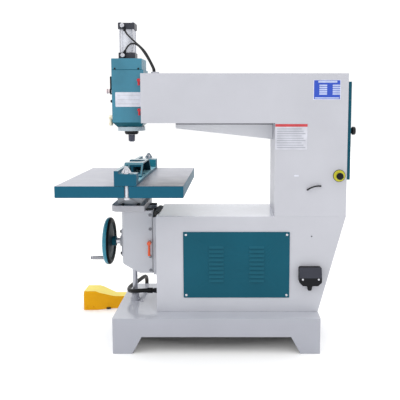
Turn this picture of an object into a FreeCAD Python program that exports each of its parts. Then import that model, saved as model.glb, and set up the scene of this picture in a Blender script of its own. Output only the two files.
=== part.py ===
# Overarm router: a C-shaped steel frame on a welded base, a motor head that an air cylinder lowers,
# and a table with a fence on a knee that a handwheel lifts.
# Millimetres. X runs from the operator to the column, Y across the machine, Z up.
# The origin is on the floor, at the centre of the base.
import FreeCAD, Part
import math
import os
from types import SimpleNamespace

import Sketcher

SIZES = {
    # General
    "overrun": 5,
    "running_gap": 0.05,
    "clear_gap": 0.3,
    # Base
    "base_length": 950,
    "base_width": 520,
    "base_height": 166,
    "base_skirt": 10,
    "base_top": 12,
    "arch_height": 79,
    "arch_foot": 90,
    "arch_slope": 43,
    "anchor_pad": 84,
    "anchor_pad_thick": 12,
    "anchor_inset": 52,
    "anchor_hole": 18,
    # C-shaped frame
    "frame_width": 338,
    "frame_wall": 8,
    "pedestal_front": 281,
    "pedestal_foot": 474,
    "column_rear": 597,
    "column_depth": 330,
    "throat": 680,
    "throat_height": 430,
    "arm_height": 224,
    "arm_end": 72,
    "gusset_length": 467,
    "gusset_nose": 31,
    "gusset_heel": 83,
    "gusset_thick": 16,
    # Vent panel on the pedestal
    "panel_width": 494,
    "panel_height": 313,
    "panel_thick": 3,
    "panel_inset": 126,
    "panel_rise": 69,
    "panel_lap": 20,
    "louvre_length": 68,
    "louvre_slot": 5,
    "louvre_lip": 6,
    "louvre_pitch": 20,
    "louvre_inset": 119,
    # Electric cabinet and its door
    "door_width": 280,
    "door_height": 451,
    "door_thick": 20,
    "door_rise": 167,
    "door_lap": 25,
    "door_skin": 3,
    "hinge_pin": 8,
    "hinge_knuckle": 18,
    "hinge_lug": 22,
    "hinge_leaf": 40,
    "hinge_inset": 70,
    "latch_inset": 42,
    "latch_knob": 38,
    "latch_reach": 28,
    "latch_stem": 12,
    "latch_tongue": 44,
    "latch_tongue_thick": 4,
    "drive_width": 150,
    "drive_depth": 130,
    "drive_height": 200,
    "drive_rise": 128,
    # Terminal box on the pedestal
    "terminal_width": 104,
    "terminal_height": 82,
    "terminal_depth": 26,
    "terminal_wall": 4,
    "terminal_lid": 22,
    "terminal_slope": 44,
    "terminal_corner": 17,
    "terminal_round": 8,
    "terminal_rise": 138,
    "terminal_place": 433,
    "gland_radius": 13,
    "gland_length": 30,
    # Stop button
    "stop_place": 35,
    "stop_rise": 190,
    "stop_ring_radius": 26,
    "stop_ring_thick": 6,
    "stop_button_radius": 16,
    "stop_button_reach": 18,
    "stop_stem_radius": 8,
    "stop_travel": 6,
    # Head
    "head_width": 149,
    "head_depth": 144,
    "head_wall": 8,
    "head_height": 245,
    "head_taper": 20,
    "head_taper_height": 22,
    "head_floor": 24,
    "cover_height": 52,
    "cover_length": 142,
    "cover_wall": 6,
    "guide_wall": 9,
    "guide_height": 60,
    "ring_radius": 65.5,
    "ring_height": 19,
    # Quill, motor and spindle
    "quill_radius": 46,
    "quill_length": 236,
    "quill_wall": 6,
    "quill_stroke": 80,
    "quill_cap_thick": 20,
    "quill_floor": 30,
    "bearing_radius": 26,
    "bearing_height": 15,
    "stator_bore": 25.5,
    "stator_height": 110,
    "rotor_radius": 25,
    "shaft_radius": 12.5,
    "shaft_nose": 37,
    "shank_bore": 6,
    "shank_depth": 52,
    "nose_radius": 33,
    "nose_height": 18,
    "nut_radius": 16,
    "nut_height": 31,
    "nut_gap": 2,
    "collet_radius": 10,
    "collet_height": 18,
    # Air cylinder
    "cylinder_offset": 10,
    "cap_side": 78,
    "cap_height": 29,
    "barrel_radius": 33,
    "barrel_wall": 4,
    "rod_radius": 10,
    "piston_height": 20,
    "piston_top_gap": 4,
    "tie_rod_radius": 4,
    "tie_rod_place": 31,
    "fitting_radius": 10,
    "fitting_reach": 17,
    "fitting_place": 15,
    "fitting_stub": 26,
    "stub_radius": 6,
    "air_hose": 8,
    "grommet_radius": 19,
    "grommet_height": 12,
    "grommet_place": 50,
    "grommet_side": 34,
    # Head controls
    "switch_width": 60,
    "switch_height": 56,
    "switch_depth": 12,
    "switch_rise": 159,
    "switch_side": 22,
    "start_radius": 10,
    "start_reach": 24,
    "start_drop": 13,
    "jog_radius": 7,
    "jog_reach": 12,
    "jog_drop": 60,
    "button_travel": 4,
    "nozzle_radius": 12,
    "nozzle_reach": 26,
    "nozzle_rise": 10,
    "clamp_hub_radius": 8,
    "clamp_reach": 20,
    "clamp_handle": 24,
    "clamp_handle_radius": 6,
    "clamp_inset": 20,
    "clamp_upper_rise": 196,
    "clamp_lower_rise": 58,
    # Vertical way and knee
    "way_width": 184,
    "way_thick": 24,
    "way_height": 280,
    "way_drop": 18,
    "rib_depth": 24,
    "rib_root": 80,
    "rib_tip": 104,
    "gib_thick": 6,
    "knee_width": 180,
    "knee_length": 148,
    "knee_height": 305,
    "knee_lift": 14,
    "knee_corner": 12,
    "toe_height": 47,
    "toe_length": 82,
    "knee_wall": 13,
    "knee_floor": 60,
    "knee_cavity": 96,
    "knee_bay": 130,
    "lock_hub_radius": 9.5,
    "lock_reach": 26,
    "lock_handle": 60,
    "lock_handle_radius": 6.5,
    "lock_inset": 17,
    "lock_rise": 150,
    # Lifting screw and bevel gears
    "screw_radius": 12,
    "screw_journal": 8,
    "screw_tail": 76,
    "screw_place": 105,
    "thrust_depth": 46,
    "collar_radius": 22,
    "collar_height": 12,
    "nut_flange": 23,
    "nut_flange_thick": 10,
    "nut_barrel": 18,
    "nut_barrel_height": 34,
    "nut_spigot": 17,
    "nut_spigot_length": 30,
    "bevel_radius": 20,
    "bevel_face": 8,
    "bevel_addendum": 1.9,
    "bevel_dedendum": 2.5,
    "bevel_back": 6,
    "bevel_hub": 14,
    "bevel_hub_length": 8,
    "pinion_hub_length": 2,
    # Handwheel
    "wheel_axis_rise": 137,
    "wheel_radius": 116,
    "wheel_rim": 15,
    "wheel_stand": 79,
    "wheel_hub": 24,
    "wheel_hub_front": 11,
    "wheel_hub_length": 46,
    "wheel_web": 8,
    "wheel_dish": 12,
    "wheel_shaft": 11,
    "wheel_shaft_end": 8,
    "crank_place": 98,
    "crank_pin": 5,
    "crank_radius": 9,
    "crank_length": 70,
    "crank_collar": 8,
    "crank_collar_length": 12,
    "crank_head": 3,
    "cover_plate_height": 134,
    "cover_plate_width": 92,
    "cover_plate_thick": 12,
    "cover_boss": 26,
    "cover_boss_length": 12,
    "cover_spigot": 20,
    # Table
    "plate_length": 159,
    "plate_width": 260,
    "plate_thick": 30,
    "plate_nose": 44,
    "plate_corner": 40,
    "saddle_foot": 112,
    "saddle_head": 170,
    "saddle_width": 200,
    "saddle_height": 100,
    "saddle_neck": 30,
    "saddle_flange": 26,
    "table_place": 108,
    "table_length": 554,
    "table_width": 700,
    "table_height": 788,
    "table_slab": 24,
    "table_rim": 52,
    "table_rim_wall": 12,
    "table_rib": 12,
    # Fence
    "fence_base": 96,
    "fence_base_thick": 12,
    "fence_face": 20,
    "fence_wall": 18,
    "fence_height": 65,
    "fence_gap": 90,
    "fence_end": 62,
    "fence_pad": 52,
    "fence_travel": 25,
    "hood_length": 300,
    "hood_top": 190,
    "hood_height": 74,
    "hood_width": 88,
    "hood_wall": 6,
    "hood_rim": 8,
    "hood_notch": 38,
    "stud_radius": 6,
    "stud_inset": 14,
    "stud_place": 32,
    "stud_top": 72,
    "stud_head": 11,
    "stud_head_height": 9,
    "table_slot": 19,
    "table_slot_depth": 30,
    "wing_hub": 9,
    "wing_height": 16,
    "wing_span": 40,
    "wing_thick": 5,
    "wing_rise": 28,
    "washer_radius": 14,
    "washer_thick": 3,
    # Foot pedal
    "pedal_place": 749,
    "pedal_side": 305,
    "pedal_length": 252,
    "pedal_width": 130,
    "pedal_height": 104,
    "pedal_mouth": 66,
    "pedal_taper": 96,
    "pedal_neck_width": 70,
    "pedal_neck_height": 70,
    "pedal_arch": 20,
    "pedal_wall": 5,
    "pedal_floor": 6,
    "tread_length": 170,
    "tread_width": 56,
    "tread_thick": 8,
    "tread_rise": 16,
    "tread_lift": 20,
    "tread_pin": 5,
    "tread_hinge": 44,
    "inlet_radius": 15,
    "inlet_length": 16,
    "inlet_rise": 24,
    # Conduit from the pedestal to the pedal
    "conduit": 20,
    "conduit_gland": 14,
    "conduit_gland_length": 34,
    "conduit_side": 62,
    "conduit_rise": 68,
}

# How a tooth of the bevel gears shares its pitch, and the slope of its sides.
TOOTH_COUNT = 16
TOOTH_SHARE = 0.40
FLANK_SHARE = 0.36
LOUVRE_ROWS = 9
DIAGONAL_SHARE = math.sqrt(0.5)

# Turned profiles: shares of a piece's own radius and length, from its outer end inwards.
KNOB_SHARES = ((0, 0), (0.72, 0), (0.60, 0.3), (1, 0.5), (1, 0.85), (0.84, 1), (0, 1))
GLAND_SHARES = ((0, 0), (0.62, 0), (0.85, 0.3), (0.85, 0.55), (1, 0.55), (1, 1), (0, 1))
STOP_SHARES = ((0, 0), (0.8, 0), (1, 0.25), (1, 0.6))
NOSE_SHARES = ((0.86, 0), (1, 0.35), (1, 1))
NUT_SHARES = ((0.85, 0), (1, 0.15), (1, 1))
NUT_FLAT_SHARES = (0.92, 0.6)
BUTTON_SHARES = ((0, 0), (0.8, 0), (1, 0.3), (1, 1))
STEM_SHARE = 0.5
NOZZLE_SHARES = ((0, 0), (0.7, 0), (1, 0.3), (1, 0.7), (0.6, 0.7), (0.6, 1), (0, 1))
GRIP_SHARES = ((0.8, 0), (1, 0.1), (1, 0.86), (0.86, 1))
GRIP_END_SHARE = 0.72
TOE_SHARES = (0.6, 0.38)
WINDOW_SHARES = (0.16, 0.84)

# Degrees from straight down to the crank handle, and from upright to the air fittings' stubs.
CRANK_TURN = 17
STUB_TURN = 25

# How far along its shorter run each bend of a cord starts, and the cords' own routes.
RUN_SHARE = 0.45
HOSE_UPPER = [
    (-427.0, -47.5, 1474.9), (-421.9, -47.5, 1464.0), (-408.7, -47.0, 1449.8), (-391.0, -46.0, 1432.6),
    (-373.0, -44.4, 1416.6), (-354.2, -42.4, 1400.8), (-337.0, -40.3, 1382.2), (-323.2, -38.2, 1360.0),
    (-310.6, -35.9, 1335.0), (-298.8, -33.6, 1311.5), (-293.0, -32.0, 1297.0), (-293.0, -32.0, 1286.0),
]
HOSE_LOWER = [
    (-427.0, -47.5, 1385.1), (-422.0, -47.5, 1395.9), (-411.0, -48.8, 1409.0), (-394.9, -50.4, 1417.3),
    (-378.5, -51.6, 1415.3), (-363.0, -51.8, 1404.5), (-347.3, -50.6, 1386.9), (-333.0, -48.4, 1364.8),
    (-320.6, -46.1, 1340.0), (-309.6, -43.7, 1314.6), (-303.0, -42.0, 1298.0), (-303.0, -42.0, 1286.0),
]
CONDUIT = [
    (-315.0, -62.0, 234.0), (-346.0, -62.0, 234.0), (-379.0, -58.0, 231.0), (-410.0, -46.0, 225.0),
    (-434.0, -22.0, 219.0), (-445.0, 12.0, 216.0), (-444.0, 50.0, 217.0), (-434.0, 88.0, 218.0),
    (-421.0, 128.0, 219.0), (-409.0, 168.0, 220.0), (-400.0, 208.0, 219.0), (-395.0, 244.0, 212.0),
    (-394.0, 273.0, 195.0), (-396.0, 292.0, 168.0), (-399.0, 306.0, 138.0), (-404.0, 320.0, 108.0),
    (-412.0, 336.0, 78.0), (-424.0, 352.0, 51.0), (-440.0, 364.0, 32.0), (-460.0, 370.0, 24.0),
    (-481.0, 370.0, 24.0),
]

doc = FreeCAD.newDocument("overarm_router")
sheet = doc.addObject("Spreadsheet::Sheet", "sizes")


class Size:
    """A length: its value, and the text that works it out from the sheet."""

    def __init__(self, value, text):
        self.value = float(value)
        self.text = text

    def __add__(self, other):
        other = as_size(other)
        return Size(self.value + other.value, f"({self.text} + {other.text})")

    def __sub__(self, other):
        other = as_size(other)
        return Size(self.value - other.value, f"({self.text} - {other.text})")

    def __rsub__(self, other):
        return as_size(other) - self

    def __mul__(self, factor):
        return Size(self.value * factor, f"({self.text} * {factor})")

    def __truediv__(self, factor):
        return Size(self.value / factor, f"({self.text} / {factor})")

    def __neg__(self):
        return Size(-self.value, f"(-{self.text})")

    __radd__ = __add__
    __rmul__ = __mul__


def as_size(length):
    if isinstance(length, Size):
        return length
    return Size(length, f"{length}")


def fill_sheet():
    """Put each named size in the sheet, and return them by name."""
    cells = {}
    for row, (name, value) in enumerate(SIZES.items(), start=1):
        sheet.set(f"A{row}", name)
        sheet.set(f"B{row}", f"{value}")
        sheet.setAlias(f"B{row}", name)
        cells[name] = Size(value, f"sizes.{name}")
    doc.recompute()
    return SimpleNamespace(**cells)


s = fill_sheet()
nodes = {}

# Places that several pieces share
half_frame = s.frame_width / 2
table_top = s.table_height
slab_low = table_top - s.table_slab
plate_top = slab_low - s.saddle_height
knee_top = plate_top - s.plate_thick
pedestal_top = knee_top - s.knee_lift
column_front = s.column_rear - s.column_depth
spindle_x = column_front - s.throat
arm_low = pedestal_top + s.throat_height
arm_top = arm_low + s.arm_height
arm_end_x = spindle_x + s.arm_end
head_front = arm_end_x - s.head_width
head_top = arm_low + s.head_height
head_bottom = arm_low - s.head_taper_height
cover_top = head_top + s.cover_height
quill_bottom = head_bottom - s.ring_height
cylinder_x = spindle_x - s.cylinder_offset
barrel_low = cover_top + s.cap_height
barrel_height = s.quill_stroke + s.piston_height + s.piston_top_gap * 2
barrel_top = barrel_low + barrel_height
way_front = -s.pedestal_front - s.way_thick
way_top = pedestal_top - s.way_drop
way_low = way_top - s.way_height
knee_back = way_front - s.clear_gap
knee_front = knee_back - s.knee_length
knee_low = knee_top - s.knee_height
screw_x = way_front - s.screw_place
wheel_z = knee_low + s.wheel_axis_rise
wheel_x = knee_front - s.wheel_stand
table_x = way_front - s.table_place
stud_x = table_x + s.stud_place
stud_y = s.table_width / 2 - s.stud_inset
fence_front = table_x - s.fence_face
fence_low = table_top + s.clear_gap
pedal_front = -s.pedal_place
pedal_middle = s.pedal_side + s.pedal_width / 2


def bind(item, path, length):
    item.setExpression(path, as_size(length).text)


AXIS_TURN = {
    "X": FreeCAD.Rotation(FreeCAD.Vector(0, 1, 0), 90),
    "Y": FreeCAD.Rotation(FreeCAD.Vector(1, 0, 0), -90),
    "Z": FreeCAD.Rotation(),
}


def place(item, at, turn=AXIS_TURN["Z"]):
    item.Placement = FreeCAD.Placement(FreeCAD.Vector(), turn)
    for letter, length in zip("xyz", at):
        bind(item, f"Placement.Base.{letter}", length)
    return item


def box(low, high):
    """A block between two opposite corners."""
    item = doc.addObject("Part::Box", "block")
    for name, start, end in zip(("Length", "Width", "Height"), low, high):
        bind(item, name, as_size(end) - start)
    return place(item, low)


def cylinder(axis, at, radius, length):
    item = doc.addObject("Part::Cylinder", "round")
    bind(item, "Radius", radius)
    bind(item, "Height", length)
    return place(item, at, AXIS_TURN[axis])


def cone(axis, at, start_radius, end_radius, length):
    item = doc.addObject("Part::Cone", "taper")
    bind(item, "Radius1", start_radius)
    bind(item, "Radius2", end_radius)
    bind(item, "Height", length)
    return place(item, at, AXIS_TURN[axis])


def torus(axis, at, ring, section):
    item = doc.addObject("Part::Torus", "ring")
    bind(item, "Radius1", ring)
    bind(item, "Radius2", section)
    return place(item, at, AXIS_TURN[axis])


def outline(body, plane, points):
    """A closed sketch of straight lines, each corner held by two sizes."""
    sketch = body.newObject("Sketcher::SketchObject", "outline")
    planes = {feature.Role: feature for feature in body.Origin.OriginFeatures}
    sketch.AttachmentSupport = [(planes[f"{plane}_Plane"], "")]
    sketch.MapMode = "FlatFace"
    corners = [(as_size(u), as_size(v)) for u, v in points]
    spots = [FreeCAD.Vector(u.value, v.value, 0) for u, v in corners]
    count = len(spots)
    for index in range(count):
        sketch.addGeometry(Part.LineSegment(spots[index], spots[(index + 1) % count]), False)
    for index in range(count):
        sketch.addConstraint(Sketcher.Constraint("Coincident", index, 2, (index + 1) % count, 1))
    for index, (u, v) in enumerate(corners):
        for kind, length in (("DistanceX", u), ("DistanceY", v)):
            rule = Sketcher.Constraint(kind, -1, 1, index, 1, length.value)
            number = sketch.addConstraint(rule)
            sketch.setExpression(f"Constraints[{number}]", length.text)
    return sketch


def prism(plane, points, start, end):
    """An outline drawn on a main plane and padded from start to end along that plane's own axis."""
    body = doc.addObject("PartDesign::Body", "prism")
    pad = body.newObject("PartDesign::Pad", "pad")
    pad.Profile = outline(body, plane, points)
    bind(pad, "Length", as_size(end) - start)
    offsets = {"XY": (0, 0, start), "XZ": (0, end, 0), "YZ": (start, 0, 0)}
    return place(body, offsets[plane])


def turned(axis, at, points):
    """A profile of radius and height, turned a full circle about the axis through at."""
    body = doc.addObject("PartDesign::Body", "turned")
    sketch = outline(body, "XZ", points)
    turn = body.newObject("PartDesign::Revolution", "turn")
    turn.Profile = sketch
    turn.ReferenceAxis = (sketch, ["V_Axis"])
    turn.Angle = 360
    return place(body, at, AXIS_TURN[axis])


def tube(axis, at, outer, bore, length):
    return turned(axis, at, [(bore, 0), (outer, 0), (outer, length), (bore, length)])


def shaped(shares, radius, length):
    """A turned profile from its table of shares."""
    return [(radius * wide, length * along) for wide, along in shares]


def fuse(*items):
    joined = doc.addObject("Part::MultiFuse", "joined")
    joined.Shapes = list(items)
    joined.Refine = True
    return joined


def cut(base, *tools):
    result = doc.addObject("Part::Cut", "cut")
    result.Base = base
    result.Tool = tools[0] if len(tools) == 1 else fuse(*tools)
    result.Refine = True
    return result


def common(first, second):
    result = doc.addObject("Part::Common", "shared")
    result.Base = first
    result.Tool = second
    result.Refine = True
    return result


def group(*items):
    bundle = doc.addObject("Part::Compound", "group")
    bundle.Links = list(items)
    return bundle


def rounded(item, radius, wanted):
    """Round the edges that wanted picks by their two ends."""
    doc.recompute()
    picked = []
    for number, edge in enumerate(item.Shape.Edges, start=1):
        ends = [vertex.Point for vertex in edge.Vertexes]
        if len(ends) == 2 and wanted(ends[0], ends[1]):
            picked.append((number, radius.value, radius.value))
    result = doc.addObject("Part::Fillet", "rounded")
    result.Base = item
    result.Edges = picked
    return result


def upright(start, end):
    return start.sub(end).cross(FreeCAD.Vector(0, 0, 1)).Length < s.clear_gap.value


def node(label, item):
    """Name a finished sub-part."""
    item.Label = label
    nodes[label] = item


def both(length):
    """The two sides of a middle plane."""
    return -length, length


def add_base():
    half_long = s.base_length / 2
    half_wide = s.base_width / 2
    shell = box((-half_long, -half_wide, 0), (half_long, half_wide, s.base_height))
    hollow = box(
        (-half_long + s.base_skirt, -half_wide + s.base_skirt, -s.overrun),
        (half_long - s.base_skirt, half_wide - s.base_skirt, s.base_height - s.base_top),
    )
    foot = half_long - s.arch_foot
    crown = foot - s.arch_slope
    arch = prism(
        "XZ",
        [(-foot, -s.overrun), (foot, -s.overrun), (foot, 0), (crown, s.arch_height),
         (-crown, s.arch_height), (-foot, 0)],
        -half_wide - s.overrun,
        half_wide + s.overrun,
    )
    screw_hole = cylinder("Z", (screw_x, 0, 0), s.nut_spigot, s.base_height + s.overrun)
    shell = rounded(shell, s.base_skirt / 2, upright)
    skirts = cut(shell, hollow, arch, screw_hole)
    pads = []
    holes = []
    anchor_x = half_long - s.anchor_inset
    anchor_y = half_wide - s.anchor_inset
    reach = s.anchor_pad / 2
    for x in both(anchor_x):
        for y in both(anchor_y):
            pads.append(box((x - reach, y - reach, 0), (x + reach, y + reach, s.anchor_pad_thick)))
            holes.append(cylinder("Z", (x, y, -s.overrun), s.anchor_hole / 2,
                                  s.anchor_pad_thick + s.overrun * 2))
    node("base_frame", cut(fuse(skirts, *pads), *holes))


def add_pedestal():
    low = s.base_height
    wall = s.frame_wall
    outer = prism(
        "XZ",
        [(-s.pedestal_front, low), (s.pedestal_foot, low), (s.column_rear, pedestal_top),
         (-s.pedestal_front, pedestal_top)],
        -half_frame,
        half_frame,
    )
    inner = prism(
        "XZ",
        [(wall - s.pedestal_front, low + wall), (s.pedestal_foot - wall, low + wall),
         (s.column_rear - wall * 2, pedestal_top - wall), (wall - s.pedestal_front, pedestal_top - wall)],
        wall - half_frame,
        half_frame - wall,
    )
    panel_x = s.panel_inset - s.pedestal_front
    panel_z = low + s.panel_rise
    window = box(
        (panel_x + s.panel_lap, -half_frame - s.overrun, panel_z + s.panel_lap),
        (panel_x + s.panel_width - s.panel_lap, -half_frame + wall + s.overrun,
         panel_z + s.panel_height - s.panel_lap),
    )
    cable_hole = cylinder(
        "X",
        (-s.pedestal_front - s.overrun, -s.conduit_side, low + s.conduit_rise),
        s.conduit / 2,
        wall + s.overrun * 2,
    )
    node("pedestal", cut(outer, inner, window, cable_hole))


def add_overarm():
    wall = s.frame_wall
    outer = prism(
        "XZ",
        [(column_front, pedestal_top), (s.column_rear, pedestal_top), (s.column_rear, arm_top),
         (arm_end_x, arm_top), (arm_end_x, arm_low), (column_front, arm_low)],
        -half_frame,
        half_frame,
    )
    inner = prism(
        "XZ",
        [(column_front + wall, pedestal_top + wall), (s.column_rear - wall, pedestal_top + wall),
         (s.column_rear - wall, arm_top - wall), (arm_end_x + wall, arm_top - wall),
         (arm_end_x + wall, arm_low + wall), (column_front + wall, arm_low + wall)],
        wall - half_frame,
        half_frame - wall,
    )
    door_low = pedestal_top + s.door_rise
    half_door = s.door_width / 2
    doorway = box(
        (s.column_rear - wall - s.overrun, s.door_lap - half_door, door_low + s.door_lap),
        (s.column_rear + s.overrun, half_door - s.door_lap, door_low + s.door_height - s.door_lap),
    )
    hose_hole = cylinder(
        "Z",
        (arm_end_x + s.grommet_place, -s.grommet_side, arm_top - wall - s.overrun),
        s.grommet_radius - s.frame_wall / 2,
        wall + s.overrun * 2,
    )
    stop_hole = cylinder(
        "Y",
        (s.column_rear - s.stop_place, -half_frame - s.overrun, pedestal_top + s.stop_rise),
        s.stop_stem_radius + s.clear_gap,
        wall + s.overrun * 2,
    )
    node("overarm", cut(outer, inner, doorway, hose_hole, stop_hole))
    web = prism(
        "XZ",
        [(column_front, arm_low), (column_front, arm_low - s.gusset_heel),
         (column_front - s.gusset_length, arm_low - s.gusset_nose),
         (column_front - s.gusset_length, arm_low)],
        -s.gusset_thick / 2,
        s.gusset_thick / 2,
    )
    node("arm_gusset", web)


def add_vent_panel():
    left = s.panel_inset - s.pedestal_front
    low = s.base_height + s.panel_rise
    face = -half_frame
    plate = box((left, face - s.panel_thick, low), (left + s.panel_width, face, low + s.panel_height))
    plate = rounded(plate, s.panel_thick, lambda start, end: abs(start.y - end.y) > s.panel_thick.value / 2)
    slots = []
    lips = []
    first = low + s.panel_height / 2 - s.louvre_pitch * ((LOUVRE_ROWS - 1) / 2)
    starts = (left + s.louvre_inset, left + s.panel_width - s.louvre_inset - s.louvre_length)
    for start in starts:
        for row in range(LOUVRE_ROWS):
            level = first + s.louvre_pitch * row
            slots.append(box((start, face - s.panel_thick - s.overrun, level),
                             (start + s.louvre_length, face + s.overrun, level + s.louvre_slot)))
            lip_low = level + s.louvre_slot
            lips.append(prism(
                "YZ",
                [(face - s.panel_thick, lip_low + s.louvre_slot),
                 (face - s.panel_thick - s.louvre_lip, lip_low - s.louvre_slot),
                 (face - s.panel_thick - s.louvre_lip, lip_low - s.louvre_slot - s.panel_thick / 3),
                 (face - s.panel_thick, lip_low)],
                start,
                start + s.louvre_length,
            ))
    node("vent_panel", fuse(cut(plate, *slots), *lips))


def add_cabinet():
    half_door = s.door_width / 2
    inner = s.column_rear + s.clear_gap
    outer = s.column_rear + s.door_thick
    low = pedestal_top + s.door_rise
    high = low + s.door_height
    axis_x = s.column_rear + s.hinge_knuckle / 2 + s.clear_gap
    axis_y = half_door + s.hinge_knuckle / 2 + s.clear_gap
    slab = box((inner, -half_door, low), (outer, half_door, high))
    slab = rounded(slab, s.door_skin * 2, lambda start, end: abs(start.x - end.x) > s.door_skin.value)
    recess = box(
        (inner - s.overrun, s.door_lap - half_door, low + s.door_lap),
        (outer - s.door_skin, half_door - s.door_lap, high - s.door_lap),
    )
    latch_y = s.latch_inset - half_door
    latch_z = low + s.door_height / 2
    stem_hole = cylinder("X", (inner - s.overrun, latch_y, latch_z),
                         s.latch_stem / 2 + s.running_gap, s.door_thick + s.overrun * 2)
    knuckles = []
    bores = []
    lugs = []
    for base in (low + s.hinge_inset, high - s.hinge_inset - s.hinge_lug - s.hinge_leaf):
        leaf_low = base + s.hinge_lug + s.clear_gap
        leaf_high = leaf_low + s.hinge_leaf
        knuckles.append(cylinder("Z", (axis_x, axis_y, leaf_low), s.hinge_knuckle / 2, s.hinge_leaf))
        knuckles.append(box((axis_x, half_door - s.door_skin, leaf_low), (outer, axis_y, leaf_high)))
        bores.append(cylinder("Z", (axis_x, axis_y, leaf_low - s.overrun),
                              s.hinge_pin / 2 + s.running_gap, s.hinge_leaf + s.overrun * 2))
        lug = cylinder("Z", (axis_x, axis_y, base), s.hinge_knuckle / 2, s.hinge_lug)
        foot = box((s.column_rear, axis_y - s.hinge_knuckle / 2, base),
                   (axis_x, axis_y + s.hinge_knuckle / 2, base + s.hinge_lug))
        pin = cylinder("Z", (axis_x, axis_y, base), s.hinge_pin / 2, s.hinge_lug + s.hinge_leaf)
        lugs.append(fuse(lug, foot, pin))
    node("cabinet_door", cut(fuse(cut(slab, recess), *knuckles), stem_hole, *bores))
    node("door_hinges", group(*lugs))
    tongue_x = s.column_rear - s.frame_wall - s.clear_gap - s.latch_tongue_thick
    stem = cylinder("X", (tongue_x, latch_y, latch_z), s.latch_stem / 2, outer - tongue_x + s.running_gap)
    knob = turned(
        "X",
        (outer + s.running_gap, latch_y, latch_z),
        shaped(KNOB_SHARES, s.latch_knob / 2, s.latch_reach),
    )
    tongue = box((tongue_x, latch_y - s.latch_stem / 2, latch_z - s.latch_stem / 2),
                 (tongue_x + s.latch_tongue_thick, latch_y + s.latch_stem / 2, latch_z + s.latch_tongue))
    node("door_latch", fuse(stem, knob, tongue))
    back = column_front + s.frame_wall
    drive_low = low + s.drive_rise
    drive = box((back, -s.drive_width / 2, drive_low),
                (back + s.drive_depth, s.drive_width / 2, drive_low + s.drive_height))
    node("inverter_drive", rounded(drive, s.frame_wall / 2, upright))


def add_terminal_box():
    left = s.terminal_place - s.terminal_width / 2
    right = s.terminal_place + s.terminal_width / 2
    low = s.base_height + s.terminal_rise
    high = low + s.terminal_height
    face = -half_frame
    front = face - s.terminal_depth
    lid_front = front - s.terminal_lid
    wall = s.terminal_wall
    corner = s.terminal_corner
    profile = [(left, high), (left, low + corner), (left + corner, low), (right - corner, low),
               (right, low + corner), (right, high)]
    shell = prism("XZ", profile, front, face)
    top_limit = high.value - s.clear_gap.value
    shell = rounded(shell, s.terminal_round,
                    lambda start, end: start.z > top_limit and end.z > top_limit
                    and abs(start.x - end.x) < s.clear_gap.value)
    hollow = box((left + wall, front - s.overrun, low + corner),
                 (right - wall, face - wall, high - corner / 2))
    gland_x = s.terminal_place
    gland_y = (face + front) / 2
    gland_hole = cylinder("Z", (gland_x, gland_y, low - s.overrun), s.gland_radius / 2,
                          corner + s.overrun * 2)
    node("terminal_box", cut(shell, hollow, gland_hole))
    lid = prism(
        "YZ",
        [(front, low), (front, high), (front - wall, high), (lid_front, high - s.terminal_slope),
         (lid_front, low)],
        left,
        right,
    )
    lid = common(lid, prism("XZ", profile, lid_front, front))
    lid_hollow = prism(
        "YZ",
        [(front + s.overrun, low + corner), (front + s.overrun, high - corner / 2),
         (front, high - corner / 2 - wall), (lid_front + wall, high - s.terminal_slope - wall),
         (lid_front + wall, low + corner)],
        left + wall,
        right - wall,
    )
    node("terminal_box_lid", cut(lid, lid_hollow))


def add_cable_glands():
    """The glands under the terminal box and on the pedestal's front, and the hoses' grommet."""
    box_low = s.base_height + s.terminal_rise
    below_box = turned(
        "Z",
        (s.terminal_place, -half_frame - s.terminal_depth / 2, box_low - s.gland_length),
        shaped(GLAND_SHARES, s.gland_radius, s.gland_length),
    )
    at_front = turned(
        "X",
        (-s.pedestal_front - s.conduit_gland_length, -s.conduit_side, s.base_height + s.conduit_rise),
        shaped(GLAND_SHARES, s.conduit_gland, s.conduit_gland_length),
    )
    grommet_x = arm_end_x + s.grommet_place
    collar = cylinder("Z", (grommet_x, -s.grommet_side, arm_top), s.grommet_radius, s.grommet_height)
    plug = cylinder("Z", (grommet_x, -s.grommet_side, arm_top - s.frame_wall),
                    s.grommet_radius - s.frame_wall / 2, s.frame_wall)
    node("cable_glands", group(below_box, at_front, fuse(collar, plug)))


def add_stop_button():
    x = s.column_rear - s.stop_place
    z = pedestal_top + s.stop_rise
    face = -half_frame
    bore = s.stop_stem_radius + s.running_gap
    ring = tube("Y", (x, face - s.stop_ring_thick, z), s.stop_ring_radius, bore, s.stop_ring_thick)
    node("stop_ring", ring)
    gap = s.stop_travel + s.clear_gap
    cap = turned(
        "Y",
        (x, face - s.stop_ring_thick - gap - s.stop_button_reach, z),
        [*shaped(STOP_SHARES, s.stop_button_radius, s.stop_button_reach),
         (s.stop_stem_radius, s.stop_button_reach),
         (s.stop_stem_radius, s.stop_button_reach + gap + s.stop_ring_thick + s.frame_wall),
         (0, s.stop_button_reach + gap + s.stop_ring_thick + s.frame_wall)],
    )
    node("stop_button", cap)


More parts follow.
